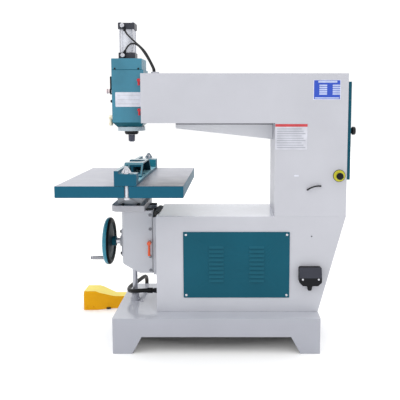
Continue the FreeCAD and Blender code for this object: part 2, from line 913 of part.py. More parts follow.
def add_head():
    half = s.head_depth / 2
    wall = s.head_wall
    side = prism(
        "XZ",
        [(head_front, head_top), (head_front, arm_low), (head_front + s.head_taper, head_bottom),
         (arm_end_x - s.head_taper, head_bottom), (arm_end_x, arm_low), (arm_end_x, head_top)],
        -half,
        half,
    )
    end = prism(
        "YZ",
        [(-half, head_top), (-half, arm_low), (s.head_taper - half, head_bottom),
         (half - s.head_taper, head_bottom), (half, arm_low), (half, head_top)],
        head_front,
        arm_end_x,
    )
    floor = head_bottom + s.head_floor
    bay = box((head_front + wall, wall - half, floor), (arm_end_x - wall, half - wall, head_top + s.overrun))
    guide = cylinder("Z", (spindle_x, 0, head_bottom), s.quill_radius + s.guide_wall,
                     s.head_floor + s.guide_height)
    bore = cylinder("Z", (spindle_x, 0, head_bottom - s.overrun), s.quill_radius + s.running_gap,
                    s.head_floor + s.guide_height + s.overrun * 2)
    shell = fuse(cut(common(side, end), bay), guide)
    stem_holes = []
    for radius, drop in ((s.start_radius, s.start_drop), (s.jog_radius, s.jog_drop)):
        stem_z = arm_low + s.switch_rise - drop
        stem_holes.append(cylinder("X", (head_front - s.overrun, -s.switch_side, stem_z),
                                   radius * STEM_SHARE + s.running_gap, wall + s.overrun * 2))
    node("head_casing", cut(shell, bore, *stem_holes))
    ring_bore = s.quill_radius + s.running_gap
    node("head_bottom_ring", tube("Z", (spindle_x, 0, quill_bottom), s.ring_radius, ring_bore, s.ring_height))
    cover = box((head_front, -half, head_top), (head_front + s.cover_length, half, cover_top))
    crown = cover_top.value - s.clear_gap.value
    cover = rounded(cover, s.cover_wall / 2, lambda start, end: start.z > crown and end.z > crown)
    cover_bay = box(
        (head_front + s.cover_wall, s.cover_wall - half, head_top - s.overrun),
        (head_front + s.cover_length - s.cover_wall, half - s.cover_wall, cover_top - s.cover_wall),
    )
    rod_hole = cylinder("Z", (cylinder_x, 0, head_top), s.rod_radius + s.running_gap,
                        s.cover_height + s.overrun)
    node("head_top_cover", cut(cover, cover_bay, rod_hole))


def add_quill():
    top = quill_bottom + s.quill_length
    floor = quill_bottom + s.quill_floor
    seat = floor - s.bearing_height
    bore = s.quill_radius - s.quill_wall
    passage = s.shaft_radius + s.clear_gap
    sleeve = turned(
        "Z",
        (spindle_x, 0, 0),
        [(passage, quill_bottom), (s.quill_radius, quill_bottom), (s.quill_radius, top), (bore, top),
         (bore, floor), (s.bearing_radius, floor), (s.bearing_radius, seat), (passage, seat)],
    )
    node("quill_sleeve", sleeve)
    cap_low = top
    cap_top = top + s.quill_cap_thick
    cap = turned(
        "Z",
        (spindle_x, 0, 0),
        [(0, cap_top), (s.quill_radius, cap_top), (s.quill_radius, cap_low), (s.bearing_radius, cap_low),
         (s.bearing_radius, cap_low + s.bearing_height), (0, cap_low + s.bearing_height)],
    )
    node("quill_cap", cap)
    stator_low = floor + (s.quill_length - s.quill_floor - s.stator_height) / 2
    node("motor_stator", tube("Z", (spindle_x, 0, stator_low), bore, s.stator_bore, s.stator_height))
    ring_bore = s.shaft_radius + s.running_gap
    rings = []
    for level in (seat, cap_low):
        rings.append(tube("Z", (spindle_x, 0, level), s.bearing_radius, ring_bore, s.bearing_height))
    node("spindle_bearings", group(*rings))
    nose_bore = s.shaft_radius + s.clear_gap
    nose = turned(
        "Z",
        (spindle_x, 0, quill_bottom - s.nose_height),
        [(nose_bore, 0), *shaped(NOSE_SHARES, s.nose_radius, s.nose_height), (nose_bore, s.nose_height)],
    )
    node("spindle_nose_cap", nose)
    nut_top = quill_bottom - s.nose_height - s.nut_gap
    nut_low = nut_top - s.nut_height
    shaft_low = quill_bottom - s.shaft_nose
    shaft_top = cap_low + s.bearing_height - s.clear_gap
    rotor_low = stator_low
    rotor_top = stator_low + s.stator_height
    shaft = turned(
        "Z",
        (spindle_x, 0, 0),
        [(s.shank_bore, shaft_low), (s.shaft_radius, shaft_low), (s.shaft_radius, rotor_low),
         (s.rotor_radius, rotor_low), (s.rotor_radius, rotor_top), (s.shaft_radius, rotor_top),
         (s.shaft_radius, shaft_top), (0, shaft_top), (0, shaft_low + s.shank_depth),
         (s.shank_bore, shaft_low + s.shank_depth)],
    )
    node("spindle_shaft", shaft)
    nut = turned(
        "Z",
        (spindle_x, 0, nut_low),
        [(s.collet_radius, 0), *shaped(NUT_SHARES, s.nut_radius, s.nut_height),
         (s.shaft_radius, s.nut_height), (s.shaft_radius, shaft_low - nut_low),
         (s.collet_radius, shaft_low - nut_low)],
    )
    flat_wide, flat_high = NUT_FLAT_SHARES
    flats = []
    for turn in range(6):
        flat = box((s.nut_radius * flat_wide, -s.nut_radius, nut_low - s.overrun),
                   (s.nut_radius * 2, s.nut_radius, nut_low + s.nut_height * flat_high))
        flats.append(spin(flat, spindle_x, turn * 60))
    node("collet_nut", cut(nut, *flats))
    collet_low = shaft_low - s.collet_height
    collet = tube("Z", (spindle_x, 0, collet_low), s.collet_radius, s.shank_bore, s.collet_height)
    node("collet", collet)


def spin(item, axis_x, degrees):
    """Turn a piece drawn about the Z axis, and move it to an axis at axis_x."""
    turn = FreeCAD.Rotation(FreeCAD.Vector(0, 0, 1), degrees)
    moved = doc.addObject("Part::Compound", "turned_copy")
    moved.Links = [item]
    moved.Placement = FreeCAD.Placement(FreeCAD.Vector(), turn)
    bind(moved, "Placement.Base.x", axis_x)
    return moved


def add_air_cylinder():
    half = s.cap_side / 2
    caps = []
    rod_bore = s.rod_radius + s.running_gap
    for low, bored in ((cover_top, True), (barrel_top, False)):
        cap = box((cylinder_x - half, -half, low), (cylinder_x + half, half, low + s.cap_height))
        cap = rounded(cap, s.tie_rod_radius, upright)
        if bored:
            cap = cut(cap, cylinder("Z", (cylinder_x, 0, low - s.overrun), rod_bore,
                                    s.cap_height + s.overrun * 2))
        caps.append(cap)
    node("cylinder_end_caps", group(*caps))
    bore = s.barrel_radius - s.barrel_wall
    node("cylinder_barrel", tube("Z", (cylinder_x, 0, barrel_low), s.barrel_radius, bore, barrel_height))
    rods = []
    for x in both(s.tie_rod_place):
        for y in both(s.tie_rod_place):
            rods.append(cylinder("Z", (cylinder_x + x, y, barrel_low), s.tie_rod_radius, barrel_height))
    node("cylinder_tie_rods", group(*rods))
    piston_top = barrel_top - s.piston_top_gap
    piston_low = piston_top - s.piston_height
    quill_top = quill_bottom + s.quill_length + s.quill_cap_thick
    piston = turned(
        "Z",
        (cylinder_x, 0, 0),
        [(0, quill_top), (s.rod_radius, quill_top), (s.rod_radius, piston_low),
         (bore - s.running_gap, piston_low), (bore - s.running_gap, piston_top), (0, piston_top)],
    )
    node("cylinder_piston", piston)
    fittings = []
    for middle, turn in ((barrel_top + s.cap_height / 2, 180 - STUB_TURN),
                         (cover_top + s.cap_height / 2, STUB_TURN)):
        x = cylinder_x - s.fitting_place
        bolt = cylinder("Y", (x, -half - s.fitting_reach, middle), s.fitting_radius, s.fitting_reach)
        stub = cylinder("Z", (x, -half - s.fitting_reach / 2, middle), s.stub_radius, s.fitting_stub)
        place(stub, (x, -half - s.fitting_reach / 2, middle),
              FreeCAD.Rotation(FreeCAD.Vector(0, 1, 0), turn))
        fittings.append(fuse(bolt, stub))
    node("air_fittings", group(*fittings))


def add_head_controls():
    face = head_front
    low = arm_low + s.switch_rise
    node("switch_box", rounded(
        box((face - s.switch_depth, -s.switch_side - s.switch_width / 2, low),
            (face, -s.switch_side + s.switch_width / 2, low + s.switch_height)),
        s.switch_depth / 4,
        lambda start, end: abs(start.x - end.x) > s.switch_depth.value / 2,
    ))
    for label, radius, reach, drop in (
        ("start_button", s.start_radius, s.start_reach, s.start_drop),
        ("jog_button", s.jog_radius, s.jog_reach, s.jog_drop),
    ):
        gap = s.button_travel + s.clear_gap
        button = turned(
            "X",
            (face - gap - reach, -s.switch_side, low - drop),
            [*shaped(BUTTON_SHARES, radius, reach), (radius * STEM_SHARE, reach),
             (radius * STEM_SHARE, reach + gap + s.head_wall), (0, reach + gap + s.head_wall)],
        )
        node(label, button)
    nozzle = turned(
        "X",
        (face - s.nozzle_reach, -s.switch_side, arm_low + s.nozzle_rise + s.nozzle_radius),
        shaped(NOZZLE_SHARES, s.nozzle_radius, s.nozzle_reach),
    )
    node("blow_nozzle", nozzle)
    near = -s.head_depth / 2
    for label, rise in (("head_clamp_upper", s.clamp_upper_rise), ("head_clamp_lower", s.clamp_lower_rise)):
        x = arm_end_x - s.clamp_inset
        z = arm_low + rise
        hub = cylinder("Y", (x, near - s.clear_gap - s.clamp_reach, z), s.clamp_hub_radius, s.clamp_reach)
        grip_y = near - s.clear_gap - s.clamp_reach + s.clamp_handle_radius
        grip = cone("Z", (x, grip_y, z - s.clamp_handle), s.clamp_handle_radius,
                    s.clamp_handle_radius * GRIP_END_SHARE,
                    s.clamp_handle)
        node(label, fuse(hub, grip))


def add_way():
    half = s.way_width / 2
    plate = box((way_front, -half, way_low), (-s.pedestal_front, half, way_top))
    rib = prism(
        "XY",
        [(way_front, -s.rib_root / 2), (way_front, s.rib_root / 2), (way_front - s.rib_depth, s.rib_tip / 2),
         (way_front - s.rib_depth, -s.rib_tip / 2)],
        way_low,
        way_top,
    )
    node("vertical_way", fuse(plate, rib))


def add_knee():
    half = s.knee_width / 2
    toe_x, toe_z = TOE_SHARES
    block = prism(
        "XZ",
        [(knee_front, knee_top), (knee_front, knee_low + s.toe_height),
         (knee_front + s.toe_length * toe_x, knee_low + s.toe_height * toe_z),
         (knee_front + s.toe_length, knee_low), (knee_back, knee_low), (knee_back, knee_top)],
        -half,
        half,
    )
    front_limit = knee_front.value + s.clear_gap.value
    block = rounded(block, s.knee_corner,
                    lambda start, end: upright(start, end) and start.x < front_limit)
    bay = box(
        (knee_front + s.knee_wall, -s.knee_bay / 2, knee_low + s.knee_floor),
        (knee_front + s.knee_wall + s.knee_cavity, s.knee_bay / 2, knee_top + s.overrun),
    )
    gap = s.clear_gap * 2
    slot_x = way_front - s.rib_depth - s.clear_gap
    near_root = -s.rib_root / 2 - gap
    near_tip = -s.rib_tip / 2 - gap
    slot = prism(
        "XY",
        [(knee_back + s.overrun, near_root - s.gib_thick), (way_front, near_root - s.gib_thick),
         (slot_x, near_tip - s.gib_thick), (slot_x, s.rib_tip / 2 + gap), (way_front, s.rib_root / 2 + gap),
         (knee_back + s.overrun, s.rib_root / 2 + gap)],
        knee_low - s.overrun,
        knee_top + s.overrun,
    )
    screw_hole = cylinder("Z", (screw_x, 0, knee_low), s.screw_radius + s.running_gap,
                          s.knee_floor + s.overrun)
    pocket = cylinder("Z", (screw_x, 0, knee_low - s.overrun), s.collar_radius + s.clear_gap,
                      s.thrust_depth + s.overrun)
    shaft_hole = cylinder("X", (knee_front - s.overrun, 0, wheel_z), s.cover_spigot,
                          s.knee_wall + s.overrun * 2)
    node("knee_body", cut(block, bay, slot, screw_hole, pocket, shaft_hole))
    gib = prism(
        "XY",
        [(knee_back, near_root), (slot_x, near_tip), (slot_x, near_tip - s.gib_thick),
         (knee_back, near_root - s.gib_thick)],
        knee_low,
        knee_top,
    )
    node("way_gib", gib)
    lock_x = knee_back - s.lock_inset
    lock_z = knee_low + s.lock_rise
    near = -half - s.clear_gap - s.lock_reach
    hub = cylinder("Y", (lock_x, near, lock_z), s.lock_hub_radius, s.lock_reach)
    grip = cone("Z", (lock_x, near + s.lock_handle_radius, lock_z - s.lock_handle),
                s.lock_handle_radius, s.lock_handle_radius * GRIP_END_SHARE, s.lock_handle)
    node("knee_lock_lever", fuse(hub, grip))


def add_table():
    half = s.plate_width / 2
    left = knee_front - s.plate_nose
    plate = box((left, -half, knee_top), (left + s.plate_length, half, plate_top))
    front_limit = left.value + s.clear_gap.value
    plate = rounded(plate, s.plate_corner,
                    lambda start, end: upright(start, end) and start.x < front_limit)
    node("knee_top_plate", plate)
    foot = s.saddle_foot / 2
    brim = s.saddle_head / 2
    neck = plate_top + s.saddle_neck
    saddle = prism(
        "XZ",
        [(table_x - foot, plate_top), (table_x + foot, plate_top), (table_x + foot, neck),
         (table_x + brim, slab_low - s.saddle_flange), (table_x + brim, slab_low),
         (table_x - brim, slab_low), (table_x - brim, slab_low - s.saddle_flange),
         (table_x - foot, neck)],
        -s.saddle_width / 2,
        s.saddle_width / 2,
    )
    node("table_saddle", saddle)
    long = s.table_length / 2
    wide = s.table_width / 2
    rim_low = table_top - s.table_rim
    wall = s.table_rim_wall
    slab = box((table_x - long, -wide, rim_low), (table_x + long, wide, table_top))
    slab = rounded(slab, wall / 3, upright)
    under = box((table_x - long + wall, wall - wide, rim_low - s.overrun),
                (table_x + long - wall, wide - wall, slab_low))
    slot_end = stud_y + s.stud_inset - s.table_slot_depth
    half_slot = s.table_slot / 2
    slots = []
    for low, high in ((slot_end, wide + s.overrun), (-wide - s.overrun, -slot_end)):
        slots.append(box((stud_x - half_slot, low, rim_low - s.overrun),
                         (stud_x + half_slot, high, table_top + s.overrun)))
    studs = []
    for y in both(stud_y):
        head = cylinder("Z", (stud_x, y, rim_low - s.stud_head_height), s.stud_head, s.stud_head_height)
        shank = cylinder("Z", (stud_x, y, rim_low), s.stud_radius, s.table_rim + s.stud_top)
        studs.append(fuse(head, shank))
    ribs = []
    for y in both(s.saddle_width / 2 + s.table_rib * 3):
        ribs.append(box((table_x - long + wall, y - s.table_rib / 2, slab_low - s.table_rib),
                        (table_x + long - wall, y + s.table_rib / 2, slab_low)))
    pads = []
    for low, high in ((slot_end - s.table_slot, wide - wall / 2), (wall / 2 - wide, s.table_slot - slot_end)):
        pads.append(box((stud_x - s.table_slot * 2, low, rim_low),
                        (stud_x + s.table_slot * 2, high, table_top)))
    node("work_table", cut(fuse(cut(slab, under), *ribs, *pads), *slots))
    node("fence_studs", group(*studs))


def add_fence():
    long = s.table_width / 2
    right = fence_front + s.fence_base
    floor = fence_low + s.fence_base_thick
    back = fence_front + s.fence_wall
    gap = s.fence_gap / 2
    top = fence_low + s.fence_height
    pad_top = fence_low + s.fence_pad
    solids = [box((fence_front, -long, fence_low), (right, long, floor))]
    for low, high in ((-long, -gap), (gap, long)):
        solids.append(box((fence_front, low, fence_low), (back, high, top)))
    block = stud_y + s.stud_inset - s.fence_end
    for low, high in ((-long, -block), (block, long)):
        solids.append(box((fence_front, low, fence_low), (right, high, pad_top)))
    hood_foot = s.hood_length / 2
    hood_crown = s.hood_top / 2
    hood_high = fence_low + s.hood_height
    hood_back = fence_front + s.hood_width
    wall = s.hood_wall
    hood = prism(
        "YZ",
        [(-hood_foot, fence_low), (hood_foot, fence_low), (hood_foot, floor + wall), (hood_crown, hood_high),
         (-hood_crown, hood_high), (-hood_foot, floor + wall)],
        fence_front,
        hood_back,
    )
    inside = prism(
        "YZ",
        [(wall - hood_foot, floor), (hood_foot - wall, floor), (hood_crown - wall / 2, hood_high - wall),
         (wall / 2 - hood_crown, hood_high - wall)],
        back,
        hood_back + s.overrun,
    )
    low_share, high_share = WINDOW_SHARES
    slope_y = hood_foot - hood_crown
    slope_z = hood_high - floor - wall
    low_y = hood_foot - slope_y * low_share
    high_y = hood_foot - slope_y * high_share
    low_z = floor + wall + slope_z * low_share
    high_z = floor + wall + slope_z * high_share
    window = prism(
        "YZ",
        [(-low_y, low_z - wall * 2), (-low_y, low_z + wall * 2), (-high_y, high_z + wall * 2),
         (-high_y, high_z - wall * 2)],
        back + s.hood_rim,
        hood_back - s.hood_rim,
    )
    body = cut(fuse(*solids, hood), inside, window)
    mouth_x = table_x + s.fence_travel
    mouth = cylinder("Z", (mouth_x, 0, fence_low - s.overrun), s.hood_notch, s.hood_height + s.overrun * 2)
    throat = box((fence_front - s.overrun, -s.hood_notch, fence_low - s.overrun),
                 (mouth_x, s.hood_notch, hood_high + s.overrun))
    reach = s.stud_radius + s.clear_gap
    slots = []
    for y in both(stud_y):
        slots.append(box((stud_x - reach, y - reach, fence_low - s.overrun),
                         (stud_x + s.fence_travel + reach, y + reach, pad_top + s.overrun)))
    node("fence_body", cut(body, mouth, throat, *slots))
    for label, y in (("fence_wing_near", -stud_y), ("fence_wing_far", stud_y)):
        low = pad_top + s.clear_gap
        hub_low = low + s.washer_thick
        washer = cylinder("Z", (stud_x, y, low), s.washer_radius, s.washer_thick)
        hub = cylinder("Z", (stud_x, y, hub_low), s.wing_hub, s.wing_height)
        span = s.wing_span / 2
        fin = prism(
            "XZ",
            [(stud_x - span, hub_low), (stud_x + span, hub_low), (stud_x + span, hub_low + s.wing_thick),
             (stud_x + s.wing_thick, hub_low + s.wing_rise), (stud_x - s.wing_thick, hub_low + s.wing_rise),
             (stud_x - span, hub_low + s.wing_thick)],
            y - s.wing_thick / 2,
            y + s.wing_thick / 2,
        )
        bore = cylinder("Z", (stud_x, y, low - s.overrun), s.stud_radius + s.running_gap,
                        table_top + s.stud_top - low + s.overrun + s.clear_gap)
        node(label, cut(fuse(washer, hub, fin), bore))


def bevel_teeth(phase, bore, hub_length):
    """A bevel gear with its pitch cone's tip at the origin and its back below it."""
    pitch = s.bevel_radius.value
    cone_length = pitch / DIAGONAL_SHARE
    inner_share = (cone_length - s.bevel_face.value) / cone_length
    pitch_arc = 2 * math.pi * pitch / TOOTH_COUNT
    outward = FreeCAD.Vector(DIAGONAL_SHARE, 0, DIAGONAL_SHARE)
    sideways = FreeCAD.Vector(0, 1, 0)
    spot = FreeCAD.Vector(pitch, 0, -pitch)
    corners = []
    sunk = -s.bevel_dedendum.value - s.bevel_addendum.value / 2
    tip = s.bevel_addendum.value
    for height, side in ((sunk, -1), (sunk, 1), (tip, 1), (tip, -1)):
        half_width = pitch_arc * TOOTH_SHARE / 2 - height * FLANK_SHARE
        corners.append(spot + outward * height + sideways * (side * half_width))
    outer = Part.makePolygon(corners + corners[:1])
    inner = Part.makePolygon([corner * inner_share for corner in corners + corners[:1]])
    tooth = Part.makeLoft([outer, inner], True, True)
    root = spot - outward * s.bevel_dedendum.value
    back = root.z - s.bevel_back.value
    hub_back = back - hub_length.value
    front = root.z * inner_share
    profile = [(bore, front), (root.x * inner_share, front), (root.x, root.z), (root.x, back),
               (s.bevel_hub.value, back), (s.bevel_hub.value, hub_back), (bore, hub_back)]
    wire = Part.makePolygon([FreeCAD.Vector(r, 0, z) for r, z in profile + profile[:1]])
    blank = Part.Face(wire).revolve(FreeCAD.Vector(), FreeCAD.Vector(0, 0, 1), 360)
    teeth = []
    for index in range(TOOTH_COUNT):
        copy = tooth.copy()
        copy.rotate(FreeCAD.Vector(), FreeCAD.Vector(0, 0, 1), (index + phase) * 360 / TOOTH_COUNT)
        teeth.append(copy)
    return blank.fuse(teeth).removeSplitter()


def feature(label, shape, at, turn=AXIS_TURN["Z"]):
    """A sub-part whose shape is worked out here from the sheet's sizes."""
    item = doc.addObject("Part::Feature", label)
    item.Shape = shape
    node(label, place(item, at, turn))


def add_lift():
    gear_drop = s.bevel_radius + s.bevel_dedendum * DIAGONAL_SHARE
    gear = bevel_teeth(0, s.screw_journal.value, s.bevel_hub_length)
    feature("bevel_gear", gear, (screw_x, 0, wheel_z))
    pinion = bevel_teeth(0.5, 0, s.pinion_hub_length)
    shaft_start = wheel_x - s.wheel_hub_front - s.wheel_shaft_end - screw_x
    shaft = Part.makeCylinder(s.wheel_shaft.value, -(shaft_start + gear_drop).value,
                              FreeCAD.Vector(0, 0, shaft_start.value))
    feature("pinion_shaft", pinion.fuse(shaft).removeSplitter(), (screw_x, 0, wheel_z), AXIS_TURN["X"])
    shoulder_z = wheel_z - gear_drop - s.bevel_back - s.bevel_hub_length
    collar_top = knee_low + s.thrust_depth - s.running_gap
    collar_low = collar_top - s.collar_height
    screw_low = s.base_height - s.screw_tail
    screw_top = shoulder_z + s.bevel_hub_length + s.bevel_back + s.bevel_face
    screw = turned(
        "Z",
        (screw_x, 0, 0),
        [(0, screw_low), (s.screw_radius, screw_low), (s.screw_radius, collar_low),
         (s.collar_radius, collar_low), (s.collar_radius, collar_top), (s.screw_radius, collar_top),
         (s.screw_radius, shoulder_z), (s.screw_journal, shoulder_z), (s.screw_journal, screw_top),
         (0, screw_top)],
    )
    node("elevating_screw", screw)
    base = s.base_height
    bore = s.screw_radius + s.running_gap
    nut = turned(
        "Z",
        (screw_x, 0, 0),
        [(bore, base - s.nut_spigot_length), (s.nut_spigot, base - s.nut_spigot_length), (s.nut_spigot, base),
         (s.nut_flange, base), (s.nut_flange, base + s.nut_flange_thick),
         (s.nut_barrel, base + s.nut_flange_thick), (s.nut_barrel, base + s.nut_barrel_height),
         (bore, base + s.nut_barrel_height)],
    )
    node("elevating_nut", nut)


def add_handwheel():
    rim = torus("X", (wheel_x, 0, wheel_z), s.wheel_radius - s.wheel_rim, s.wheel_rim)
    ring = s.wheel_radius - s.wheel_rim
    web = s.wheel_web / 2
    hub_end = s.wheel_hub_length - s.wheel_hub_front
    disc = turned(
        "X",
        (wheel_x, 0, wheel_z),
        [(s.wheel_shaft, -s.wheel_hub_front), (s.wheel_hub, -s.wheel_hub_front),
         (s.wheel_hub, s.wheel_dish - web), (ring, -web), (ring, web), (s.wheel_hub, s.wheel_dish + web),
         (s.wheel_hub, hub_end), (s.wheel_shaft, hub_end)],
    )
    tilt = math.radians(CRANK_TURN)
    crank_y = s.crank_place * math.sin(tilt)
    crank_z = wheel_z - s.crank_place * math.cos(tilt)
    rim_face = wheel_x - s.wheel_rim
    hole = cylinder("X", (rim_face - s.overrun, crank_y, crank_z), s.crank_pin, s.wheel_rim + s.overrun)
    node("handwheel", cut(fuse(rim, disc), hole))
    collar_end = s.wheel_rim + s.crank_collar_length
    sleeve_start = collar_end + s.crank_length + s.clear_gap * 2
    head_start = sleeve_start + s.crank_head
    pin = turned(
        "X",
        (wheel_x - head_start, crank_y, crank_z),
        [(0, 0), (s.crank_collar, 0), (s.crank_collar, s.crank_head), (s.crank_pin, s.crank_head),
         (s.crank_pin, head_start - collar_end), (s.crank_collar, head_start - collar_end),
         (s.crank_collar, head_start - s.wheel_rim), (s.crank_pin, head_start - s.wheel_rim),
         (s.crank_pin, head_start), (0, head_start)],
    )
    node("crank_pin", pin)
    bore = s.crank_pin + s.running_gap
    sleeve = turned("X", (wheel_x - sleeve_start + s.clear_gap, crank_y, crank_z),
                    [(bore, 0), *shaped(GRIP_SHARES, s.crank_radius, s.crank_length), (bore, s.crank_length)])
    node("crank_handle", sleeve)
    half_high = s.cover_plate_height / 2
    half_wide = s.cover_plate_width / 2
    plate = box((knee_front - s.cover_plate_thick, -half_wide, wheel_z - half_high),
                (knee_front, half_wide, wheel_z + half_high))
    boss_x = knee_front - s.cover_plate_thick - s.cover_boss_length
    boss = cylinder("X", (boss_x, 0, wheel_z), s.cover_boss, s.cover_boss_length)
    spigot = cylinder("X", (knee_front, 0, wheel_z), s.cover_spigot, s.knee_wall)
    shaft_bore = cylinder("X", (boss_x - s.overrun, 0, wheel_z), s.wheel_shaft + s.running_gap,
                          s.cover_boss_length + s.cover_plate_thick + s.knee_wall + s.overrun * 2)
    node("bearing_cover", cut(fuse(plate, boss, spigot), shaft_bore))


def pedal_form(left, right, low, wall):
    """The guard's form, a wall inside its outer faces: its side, its plan and its end bound it."""
    near = s.pedal_side + wall
    far = s.pedal_side + s.pedal_width - wall
    neck_near = pedal_middle - s.pedal_neck_width / 2 + wall
    neck_far = pedal_middle + s.pedal_neck_width / 2 - wall
    high = s.pedal_height - wall
    neck_high = s.pedal_neck_height - wall
    back = pedal_front + s.pedal_mouth
    neck_x = back + s.pedal_taper
    side = prism(
        "XZ",
        [(left, low), (right, low), (right, neck_high), (neck_x, neck_high), (back, high), (left, high)],
        near,
        far,
    )
    plan = prism(
        "XY",
        [(left, near), (back, near), (neck_x, neck_near), (right, neck_near), (right, neck_far),
         (neck_x, neck_far), (back, far), (left, far)],
        low,
        high,
    )
    eave = high - s.pedal_arch
    crown = s.pedal_arch / 2
    end = prism(
        "YZ",
        [(near, low), (far, low), (far, eave), (far - crown, high), (near + crown, high), (near, eave)],
        left,
        right,
    )
    return common(common(side, plan), end)


def add_pedal():
    right = pedal_front + s.pedal_length
    wall = s.pedal_wall
    hull = pedal_form(pedal_front, right, 0, 0)
    inside = pedal_form(pedal_front - s.overrun, right - wall * 2, s.pedal_floor, wall)
    axis_x = right - s.tread_hinge
    axis_z = s.tread_rise
    pin_near = pedal_middle - s.pedal_neck_width / 2
    pin_hole = cylinder("Y", (axis_x, pin_near - s.overrun, axis_z), s.tread_pin + s.running_gap,
                        s.pedal_neck_width + s.overrun * 2)
    inlet = cylinder("X", (right, pedal_middle, s.inlet_rise), s.inlet_radius, s.inlet_length)
    node("pedal_guard", fuse(cut(hull, inside, pin_hole), inlet))
    half = s.tread_width / 2
    tip_x = axis_x - s.tread_length
    tip_z = axis_z + s.tread_lift
    tread = prism(
        "XZ",
        [(axis_x, axis_z), (axis_x, axis_z + s.tread_thick), (tip_x, tip_z + s.tread_thick), (tip_x, tip_z)],
        pedal_middle - half,
        pedal_middle + half,
    )
    pin = cylinder("Y", (axis_x, pin_near, axis_z), s.tread_pin, s.pedal_neck_width)
    node("pedal_tread", fuse(tread, pin))


def corded(label, diameter, route):
    """A tube along straight runs that are joined by the largest arcs that the runs allow."""
    points = [FreeCAD.Vector(*point) for point in route]
    edges = []
    start = points[0]
    radii = []
    for before, corner, after in zip(points, points[1:], points[2:]):
        inward = (before - corner).normalize()
        onward = (after - corner).normalize()
        turn = math.pi - inward.getAngle(onward)
        reach = RUN_SHARE * min((before - corner).Length, (after - corner).Length)
        radius = reach / math.tan(turn / 2)
        radii.append(radius)
        first = corner + inward * reach
        last = corner + onward * reach
        bisector = (inward + onward).normalize()
        middle = corner + bisector * (radius / math.cos(turn / 2) - radius)
        edges.append(Part.LineSegment(start, first).toShape())
        edges.append(Part.Arc(first, middle, last).toShape())
        start = last
    edges.append(Part.LineSegment(start, points[-1]).toShape())
    path = Part.Wire(edges)
    heading = points[1] - points[0]
    ring = Part.Wire(Part.makeCircle(diameter.value / 2, points[0], heading))
    shape = path.makePipeShell([ring], True, False)
    expected = math.pi * (diameter.value / 2) ** 2 * path.Length
    feature(label, shape, (0, 0, 0))
    print(f"{label}: length {path.Length:.0f}, least radius {min(radii):.0f}, "
          f"volume {shape.Volume / expected:.4f} of section times length")


def add_cords():
    corded("hose_upper", s.air_hose, HOSE_UPPER)
    corded("hose_lower", s.air_hose, HOSE_LOWER)
    corded("pedal_conduit", s.conduit, CONDUIT)


def build():
    add_base()
    add_pedestal()
    add_overarm()
    add_vent_panel()
    add_cabinet()
    add_terminal_box()
    add_cable_glands()
    add_stop_button()
    add_head()
    add_quill()
    add_air_cylinder()
    add_head_controls()
    add_way()
    add_knee()
    add_lift()
    add_handwheel()
    add_table()
    add_fence()
    add_pedal()
    add_cords()


def check_and_write():
    doc.recompute()
    for item in doc.Objects:
        if "Invalid" in item.State or "Error" in item.State:
            raise RuntimeError(f"{item.Label} ({item.Name}) failed: {item.State}")
    os.makedirs("parts", exist_ok=True)
    for label, item in nodes.items():
        shape = item.Shape
        if shape.isNull() or not shape.isValid():
            raise RuntimeError(f"{label} has no valid shape")
        shape.exportStep(os.path.join("parts", f"{label}.step"))
        print(f"{label}: {len(shape.Solids)} solids, {shape.Volume:.0f} cubic mm")


build()
check_and_write()
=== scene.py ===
import math

import bmesh
import bpy
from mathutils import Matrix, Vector


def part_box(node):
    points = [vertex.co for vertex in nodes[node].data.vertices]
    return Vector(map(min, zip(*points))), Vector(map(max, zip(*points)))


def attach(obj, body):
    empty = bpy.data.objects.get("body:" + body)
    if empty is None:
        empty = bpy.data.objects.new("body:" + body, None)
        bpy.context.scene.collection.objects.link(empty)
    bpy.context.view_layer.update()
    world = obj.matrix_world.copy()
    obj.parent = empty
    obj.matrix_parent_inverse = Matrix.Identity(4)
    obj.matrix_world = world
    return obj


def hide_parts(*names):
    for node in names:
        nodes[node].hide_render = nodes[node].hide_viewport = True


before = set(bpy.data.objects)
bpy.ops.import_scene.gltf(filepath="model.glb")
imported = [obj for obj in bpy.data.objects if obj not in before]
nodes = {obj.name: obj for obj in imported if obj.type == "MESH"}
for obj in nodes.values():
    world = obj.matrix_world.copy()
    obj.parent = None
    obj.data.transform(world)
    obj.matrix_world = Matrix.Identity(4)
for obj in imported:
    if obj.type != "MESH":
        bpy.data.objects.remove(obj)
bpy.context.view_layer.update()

scene = bpy.context.scene

NEAR = (0, -1, 0)
AWAY = (0, 1, 0)
FRONT = (-1, 0, 0)
REAR = (1, 0, 0)
UP = (0, 0, 1)


# Colours and materials

WHOLE = (1, 1, 1, 1)
BLANK = (0, 0, 0, 1)
PALEST = 0.95
COAT_ROUGHNESS = 0.08
# Stops of a ramp or range over noise, which keeps near the middle of its scale
LOW_STOP = 0.3
HIGH_STOP = 0.7
# Scales of the patterns
FLECK_SCALE = 900.0
SHEEN_SCALE = 60.0
CASTING_SCALE = 170.0
PEEL_SCALE = 420.0
STAIN_SCALE = 14.0
MOULD_SCALE = 25.0
FLOOR_SCALE = 2.0
# Shades of the patterns, how strongly they show and where they end
FLECK_SHADE = (0.90, 0.90, 0.90, 1)
FLECK_STOPS = (0.25, 0.45)
FLECK_AMOUNT = 0.2
STAIN_SHADE = (0.90, 0.90, 0.91, 1)
STAIN_STOP = 0.6
STAIN_AMOUNT = 0.7
# Where a spot of painted shade is at its darkest
SHADE_SPOT_STOP = 0.8
MOULD_SHADES = (0.9, 1.12)
FLOOR_SHADES = ((0.90, 0.90, 0.90, 1), (0.92, 0.92, 0.92, 1))
# Depths of the bumps, in metres
CASTING_DEPTH = 0.0012
PEEL_DEPTH = 0.0005
GRAIN_DEPTH = 0.0003
MOULD_DEPTH = 0.0004
# Heights between which paint turns from its low colour, painted light or shade near the floor, to its own
# colour, in metres
PAINTED_LOW_BOTTOM = 0.02
PAINTED_LOW_TOP = 0.55


def linear(value):
    """A screen value from 0 to 255 as an amount of light, by the sRGB curve."""
    share = value / 255
    return share / 12.92 if share <= 0.04045 else ((share + 0.055) / 1.055) ** 2.4


